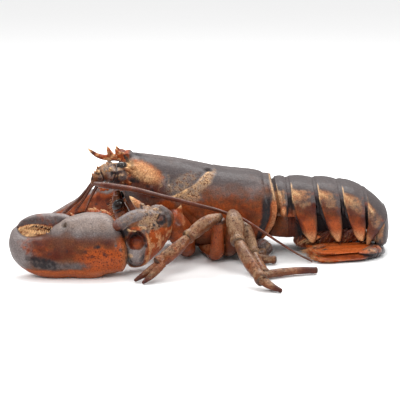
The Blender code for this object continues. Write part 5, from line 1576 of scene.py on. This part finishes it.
def make_eye(name, side):
    """A polished eye on a short mottled stalk."""
    x, y, z = EYE
    centre = np.array([x, y*side, z])
    r = EYE_RADIUS
    turns = np.linspace(0.12, math.pi - 0.12, 12)
    rows = [(x - r*math.cos(a), y*side, z, r*math.sin(a), r*math.sin(a)) for a in turns]
    ball = skin("eye_ball_" + name, tube(rows, 48, 48), 0.03, 0.03)
    points, _ = places(ball)
    direction = points - centre
    fitted = centre + direction/np.linalg.norm(direction, axis=1, keepdims=True)*r
    ball.data.vertices.foreach_set("co", ((fitted - MIDDLE)*MM).ravel())
    ball.data.update()
    wear(ball, "eye", "eye_" + name)
    rows = [(x + 7, y*side*0.62, z - 0.6, 2.4, 2.4), (x + 3.6, y*side*0.8, z - 0.2, 2.3, 2.2),
        (x + 1.2, y*side*0.93, z, 2.5, 2.5)]
    grid = tube(rows, 30, 36)
    share, _ = steps_of(grid)
    grid = raised(grid, 0.12*rough(grid, 1.2, 3) - 0.3*peak(share - 0.6, 0.08))
    wear(skin("eye_stalk_" + name, grid, 0.3, 0.2, {
        "pale": 0.75*ramp(0.25, 0.5, share)*ramp(0.85, 0.7, share) + 0.3*noise(grid, 1.5, 4), "olive": 0.6,
        "dark": 0.8*ramp(0.78, 0.95, share), "cool": 0.4
    }), "shell_back")


def make_feeler_base(name, side):
    """The thick jointed root of a long feeler with its pointed scale, bumps and small spines."""
    # The far root hangs a little lower than the near one.
    lift = 1.2 if side == 1 else -2.6
    grid = tube([(x, y, z + lift*min(1, (-43 - x)/6), w, h) for x, y, z, w, h in mirrored(PEDUNCLE, side)], 90, 60)
    share, _ = steps_of(grid)
    seam = peak(share - 0.42, 0.02) + peak(share - 0.72, 0.02)
    knobs = most(0, noise(grid, 2.4, 71))*0.9
    grid = raised(grid, knobs - 0.7*seam + 0.08*rough(grid, 1.3, 72))
    top = ramp(-0.3, 0.5, outward(grid)[..., 2])
    # The root is painted darker red underneath as shade, with a painted sheen and highlights on top.
    marks = {
        "olive": 0.62*top + 0.45*noise(grid, 2.2, 73),
        "warm": 0.12 + 0.4*noise(grid, 4, 74) + 0.5*ramp(0.25, 0.05, share),
        "deep": 0.35*(1 - top),
        "dark": most(0.85*seam, 0.8*ramp(0.1, 0.5, noise(grid, 1.9, 75))),
        "pale": 0.6*ramp(0.2, 0.6, noise(grid, 2.4, 71))*top, "cool": 0.7*ramp(-0.4, 0.3, noise(grid, 5, 76)),
        "mist": (0.3 + 0.4*top)*ramp(-0.3, 0.3, noise(grid, 3.4, 77)),
        "speck": 0.6
    }
    base = skin("base", grid, 0.6, 0.8, marks)
    blade = tube([(x, y, z + (-0.8 if side == 1 else -4), w, h) for x, y, z, w, h in mirrored(SCALE, side)], 40, 30)
    share, _ = steps_of(blade)
    scale = skin("scale", blade, 0.2, 0.2, {"cool": 0.75, "mist": 0.5 + 0.4*share, "pale": 0.4*ramp(0.4, 1, share)})
    draw = np.random.default_rng(31)
    picks = [grid[int(12 + 66*a), int(8 + 18*b)] for a, b in draw.random((16, 2))]
    rows = [(p, p - np.array([p[0] + 1.5, grid[..., 1].mean(), 46]), 0.55, 1.5) for p in picks]
    prickles = spikes("prickles", "shell_back", rows, (-1, 0, 0), bend=0.3, flare=0.5, sides=8, steps=6, seed=8)
    along_marks(prickles, olive=(0.5, 0.2), pale=(0.2, 0.9), warm=(0.3, 0.5))
    obj = joined("feeler_root_" + name, [base, scale, prickles])
    wear(obj, "shell_back", "feeler_base_" + name)


def make_whip(name, rows, nodes=(), slot="whip", deep=0.55, pale=0.15):
    """A ringed feeler along a line, dressed where it stands for a solid."""
    sizes = bpy.context.scene.lobster_sizes
    path = smooth_rows(rows, 160)
    total = np.linalg.norm(np.diff(path[:, :3], axis=0), axis=1).sum()
    mesh = bpy.data.meshes.new(name)
    mesh.from_pydata((path[:, :3] - MIDDLE)*MM, [(i, i + 1) for i in range(len(path) - 1)], [])
    mesh.attributes.new("thick", "FLOAT", "POINT").data.foreach_set("value", path[:, 3]*MM)
    obj = linked(name, mesh)
    rings = total/(sizes.ring_step/MM)
    run_tree(obj, tree_of("whip", whip_tree), rings=rings, ring_height=0.05, sides=12, count=int(rings*4),
        material=FINISHES[slot])
    points, normals = places(obj)
    high = normals[:, 2]
    # Mist and cream grow on the upper side as a painted sheen of the overhead light.
    mark(obj,
        mist=0.8*ramp(0, 0.9, high),
        deep=deep + 0.2*noise(points, 9, 4),
        warm=0.25 + 0.3*noise(points, 6, 5),
        pale=pale*ramp(0.2, 1, high),
        cool=0.75*ramp(-0.1, 0.8, high))
    return wear(obj, slot, *nodes) if nodes else obj


def make_short_feelers():
    """Both pairs of short feelers on their jointed stalks."""
    pieces = []
    for side in SIDES.values():
        grid = tube([(x, y*side, z, r, r) for x, y, z, r in ANTENNULE], 40, 28)
        share, _ = steps_of(grid)
        seam = peak(share - 0.5, 0.03)
        grid = raised(grid, 0.1*rough(grid, 1.5, 2) - 0.3*seam)
        pieces.append(skin("stalk", grid, 0.4, 0.4, {"olive": 0.6 + 0.3*noise(grid, 2, 3), "dark": 0.5*seam,
            "warm": 0.4}))
        for rows in ANTENNULE_WHIPS:
            pieces.append(make_whip("short_whip", mirrored(rows, side), deep=0.6, pale=0.5))
    return wear(joined("feelers_short", pieces), "whip", "short_feelers")


def make_mouth(name, side):
    """Jaw leg with its joints, brushes of bristles and the dark knob beside the mouth."""
    grid = tube(mirrored(JAW_LEG, side), 90, 44, (1, 0, 0.3))
    share, _ = steps_of(grid)
    seam = peak(share - 0.45, 0.02) + peak(share - 0.72, 0.02)
    grid = raised(grid, 0.25*noise(grid, 3, 81) + 0.1*rough(grid, 1.4, 82) - 0.5*seam)
    marks = {
        "olive": 0.4 + 0.4*noise(grid, 3, 83), "warm": 0.55 + 0.3*noise(grid, 4, 84),
        "deep": 0.5 + 0.3*noise(grid, 5, 85),
        "dark": most(0.8*seam, 0.6*ramp(0.2, 0.6, noise(grid, 2.5, 86))),
        "pale": 0.3*ramp(0.2, 0.7, noise(grid, 2, 87)), "speck": 0.5
    }
    leg = skin("jaw", grid, 0.8, 0.6, marks)
    draw = np.random.default_rng(41)
    count = 260
    at = (draw.random(count)*60 + 26).astype(int)
    around = (draw.random(count)*44).astype(int)
    aims = outward(grid)[at, around]*0.5 + np.array([-0.5, 0, -0.5])
    hairs = [(point, aim, 0.13, 2.6) for point, aim in zip(grid[at, around], aims)]
    brush = spikes("brush", "underside", hairs, (0, 0, -1), bend=0.35, uneven=0.4, sides=4, steps=4, seed=9)
    along_marks(brush, warm=(0.6, 0.8), pale=(0.1, 0.8), deep=(0.4, 0))
    obj = joined("jaw_leg_brush_" + name, [leg, brush])
    wear(obj, "underside", "jaw_leg_" + name)
    bead = wear(skin("mouth_bead_" + name, tube(mirrored(MOUTH_BEAD, side), 36, 36), 0.2, 0.2), "underside")
    bead.data.materials[0] = FINISHES["eye"]


def make_stage():
    """Pale floor, soft lights and the camera at the photograph's angle."""
    sizes = bpy.context.scene.lobster_sizes
    mesh = bpy.data.meshes.new("floor")
    corners = [(x*FLOOR_SIZE, y*FLOOR_SIZE, 0) for x, y in ((-1, -1), (1, -1), (1, 1), (-1, 1))]
    mesh.from_pydata(corners, [], [(0, 1, 2, 3)])
    mesh.materials.append(FINISHES["floor"])
    floor = linked("floor", mesh)
    for name, place, (wide, high), power, tone in LAMPS:
        lamp = bpy.data.lights.new(name, "AREA")
        lamp.shape = "RECTANGLE"
        lamp.size, lamp.size_y = wide, high
        lamp.energy = power
        lamp.color = tone
        obj = linked(name, lamp)
        obj.location = place
        obj.rotation_euler = (Vector((0, 0, 0.03)) - Vector(place)).to_track_quat("-Z", "Y").to_euler()
        # The front lamp only fills, so it leaves no white patch on the claw.
        obj.visible_glossy = name != "front"
    bpy.context.scene.view_settings.view_transform = "Standard"
    world = bpy.data.worlds.new("studio")
    world.use_nodes = True
    tree = world.node_tree
    sky = node(tree, "ShaderNodeTexCoord").outputs["Generated"]
    up = node(tree, "ShaderNodeSeparateXYZ", {"Vector": sky}).outputs["Z"]
    # The studio's ceiling is brighter than its walls.
    tree.links.new(ranged(tree, up, 0, 0.9, 0.35, 1.25, False), tree.nodes["Background"].inputs["Strength"])
    tree.nodes["Background"].inputs["Color"].default_value = (1, 1, 1, 1)
    bpy.context.scene.world = world
    camera = bpy.data.cameras.new("camera")
    camera.lens = CAMERA_LENS
    camera.sensor_width = 36
    camera.clip_start = 0.05
    camera.clip_end = 20
    obj = linked("camera", camera)
    target = Vector((-MIDDLE[0]*MM, 0, CAMERA_AIM))
    obj.location = target + Vector((0, -math.cos(CAMERA_TILT), math.sin(CAMERA_TILT)))*sizes.camera_distance
    obj.rotation_euler = (target - obj.location).to_track_quat("-Z", "Y").to_euler()
    bpy.context.scene.camera = obj


class LOBSTER_OT_finishes(bpy.types.Operator):
    """Make the shell, eye and floor materials"""

    bl_idname = "lobster.finishes"
    bl_label = "Finishes"

    def execute(self, context):
        make_finishes()
        return {"FINISHED"}


class LOBSTER_OT_carapace(bpy.types.Operator):
    """Make the carapace and its beak"""

    bl_idname = "lobster.carapace"
    bl_label = "Carapace"

    def execute(self, context):
        make_carapace()
        return {"FINISHED"}


class LOBSTER_OT_breast(bpy.types.Operator):
    """Make the plates under the body"""

    bl_idname = "lobster.breast"
    bl_label = "Breast plates"

    def execute(self, context):
        make_breast()
        return {"FINISHED"}


class LOBSTER_OT_tail(bpy.types.Operator):
    """Make the six rings of the tail"""

    bl_idname = "lobster.tail"
    bl_label = "Tail rings"

    def execute(self, context):
        for index in range(len(TAIL_PLANES) - 1):
            make_tail_ring(index)
        return {"FINISHED"}


class LOBSTER_OT_fan(bpy.types.Operator):
    """Make the telson and the fan plates"""

    bl_idname = "lobster.fan"
    bl_label = "Tail fan"

    def execute(self, context):
        make_fan()
        return {"FINISHED"}


class LOBSTER_OT_swimmerets(bpy.types.Operator):
    """Make the paddles under the tail"""

    bl_idname = "lobster.swimmerets"
    bl_label = "Swimmerets"

    def execute(self, context):
        make_swimmerets()
        return {"FINISHED"}


class LOBSTER_OT_claws(bpy.types.Operator):
    """Make both palms and moving fingers with their teeth and spines"""

    bl_idname = "lobster.claws"
    bl_label = "Claws"

    def execute(self, context):
        make_claw("left", 1, CRUSHER)
        make_claw("right", -1, CUTTER)
        return {"FINISHED"}


class LOBSTER_OT_wrists(bpy.types.Operator):
    """Make the wrist pieces and arms of the claws"""

    bl_idname = "lobster.wrists"
    bl_label = "Wrists and arms"

    def execute(self, context):
        for name, side in SIDES.items():
            make_wrist(name, side)
        return {"FINISHED"}


class LOBSTER_OT_legs(bpy.types.Operator):
    """Make the eight walking legs"""

    bl_idname = "lobster.legs"
    bl_label = "Walking legs"

    def execute(self, context):
        for number in LEGS:
            for name, side in SIDES.items():
                make_leg(number, name, side)
        return {"FINISHED"}


class LOBSTER_OT_eyes(bpy.types.Operator):
    """Make both eyes and their stalks"""

    bl_idname = "lobster.eyes"
    bl_label = "Eyes"

    def execute(self, context):
        for name, side in SIDES.items():
            make_eye(name, side)
        return {"FINISHED"}


class LOBSTER_OT_feelers(bpy.types.Operator):
    """Make the long and the short feelers with their roots"""

    bl_idname = "lobster.feelers"
    bl_label = "Feelers"

    def execute(self, context):
        for name, side in SIDES.items():
            make_feeler_base(name, side)
        make_whip("feeler_whip_left", WHIP_LEFT, ("feeler_left",))
        make_whip("feeler_whip_right", WHIP_RIGHT, ("feeler_right",))
        make_short_feelers()
        return {"FINISHED"}


class LOBSTER_OT_mouth(bpy.types.Operator):
    """Make the jaw legs with their brushes"""

    bl_idname = "lobster.mouth"
    bl_label = "Mouth parts"

    def execute(self, context):
        for name, side in SIDES.items():
            make_mouth(name, side)
        return {"FINISHED"}


class LOBSTER_OT_stage(bpy.types.Operator):
    """Make the floor, the lights and the camera"""

    bl_idname = "lobster.stage"
    bl_label = "Stage"

    def execute(self, context):
        make_stage()
        return {"FINISHED"}


STEPS = [
    LOBSTER_OT_finishes, LOBSTER_OT_carapace, LOBSTER_OT_breast, LOBSTER_OT_tail, LOBSTER_OT_fan,
    LOBSTER_OT_swimmerets, LOBSTER_OT_claws, LOBSTER_OT_wrists, LOBSTER_OT_legs, LOBSTER_OT_eyes,
    LOBSTER_OT_feelers, LOBSTER_OT_mouth, LOBSTER_OT_stage,
]


class LOBSTER_PT_panel(bpy.types.Panel):
    """Lists the lobster's makers, colours and sizes."""

    bl_idname = "LOBSTER_PT_panel"
    bl_label = "Lobster"
    bl_space_type = "VIEW_3D"
    bl_region_type = "UI"
    bl_category = "Lobster"

    def draw(self, context):
        for step in STEPS:
            self.layout.operator(step.bl_idname)
        for group in (context.scene.lobster_colours, context.scene.lobster_sizes):
            for key in group.__annotations__:
                self.layout.prop(group, key)


CLASSES = [LobsterColours, LobsterSizes, *STEPS, LOBSTER_PT_panel]


def register():
    for item in CLASSES:
        bpy.utils.register_class(item)
    bpy.types.Scene.lobster_colours = bpy.props.PointerProperty(type=LobsterColours)
    bpy.types.Scene.lobster_sizes = bpy.props.PointerProperty(type=LobsterSizes)


def unregister():
    del bpy.types.Scene.lobster_sizes
    del bpy.types.Scene.lobster_colours
    for item in reversed(CLASSES):
        bpy.utils.unregister_class(item)


def main():
    register()
    for step in STEPS:
        group, key = step.bl_idname.split(".")
        getattr(getattr(bpy.ops, group), key)()


if __name__ == "__main__":
    main()
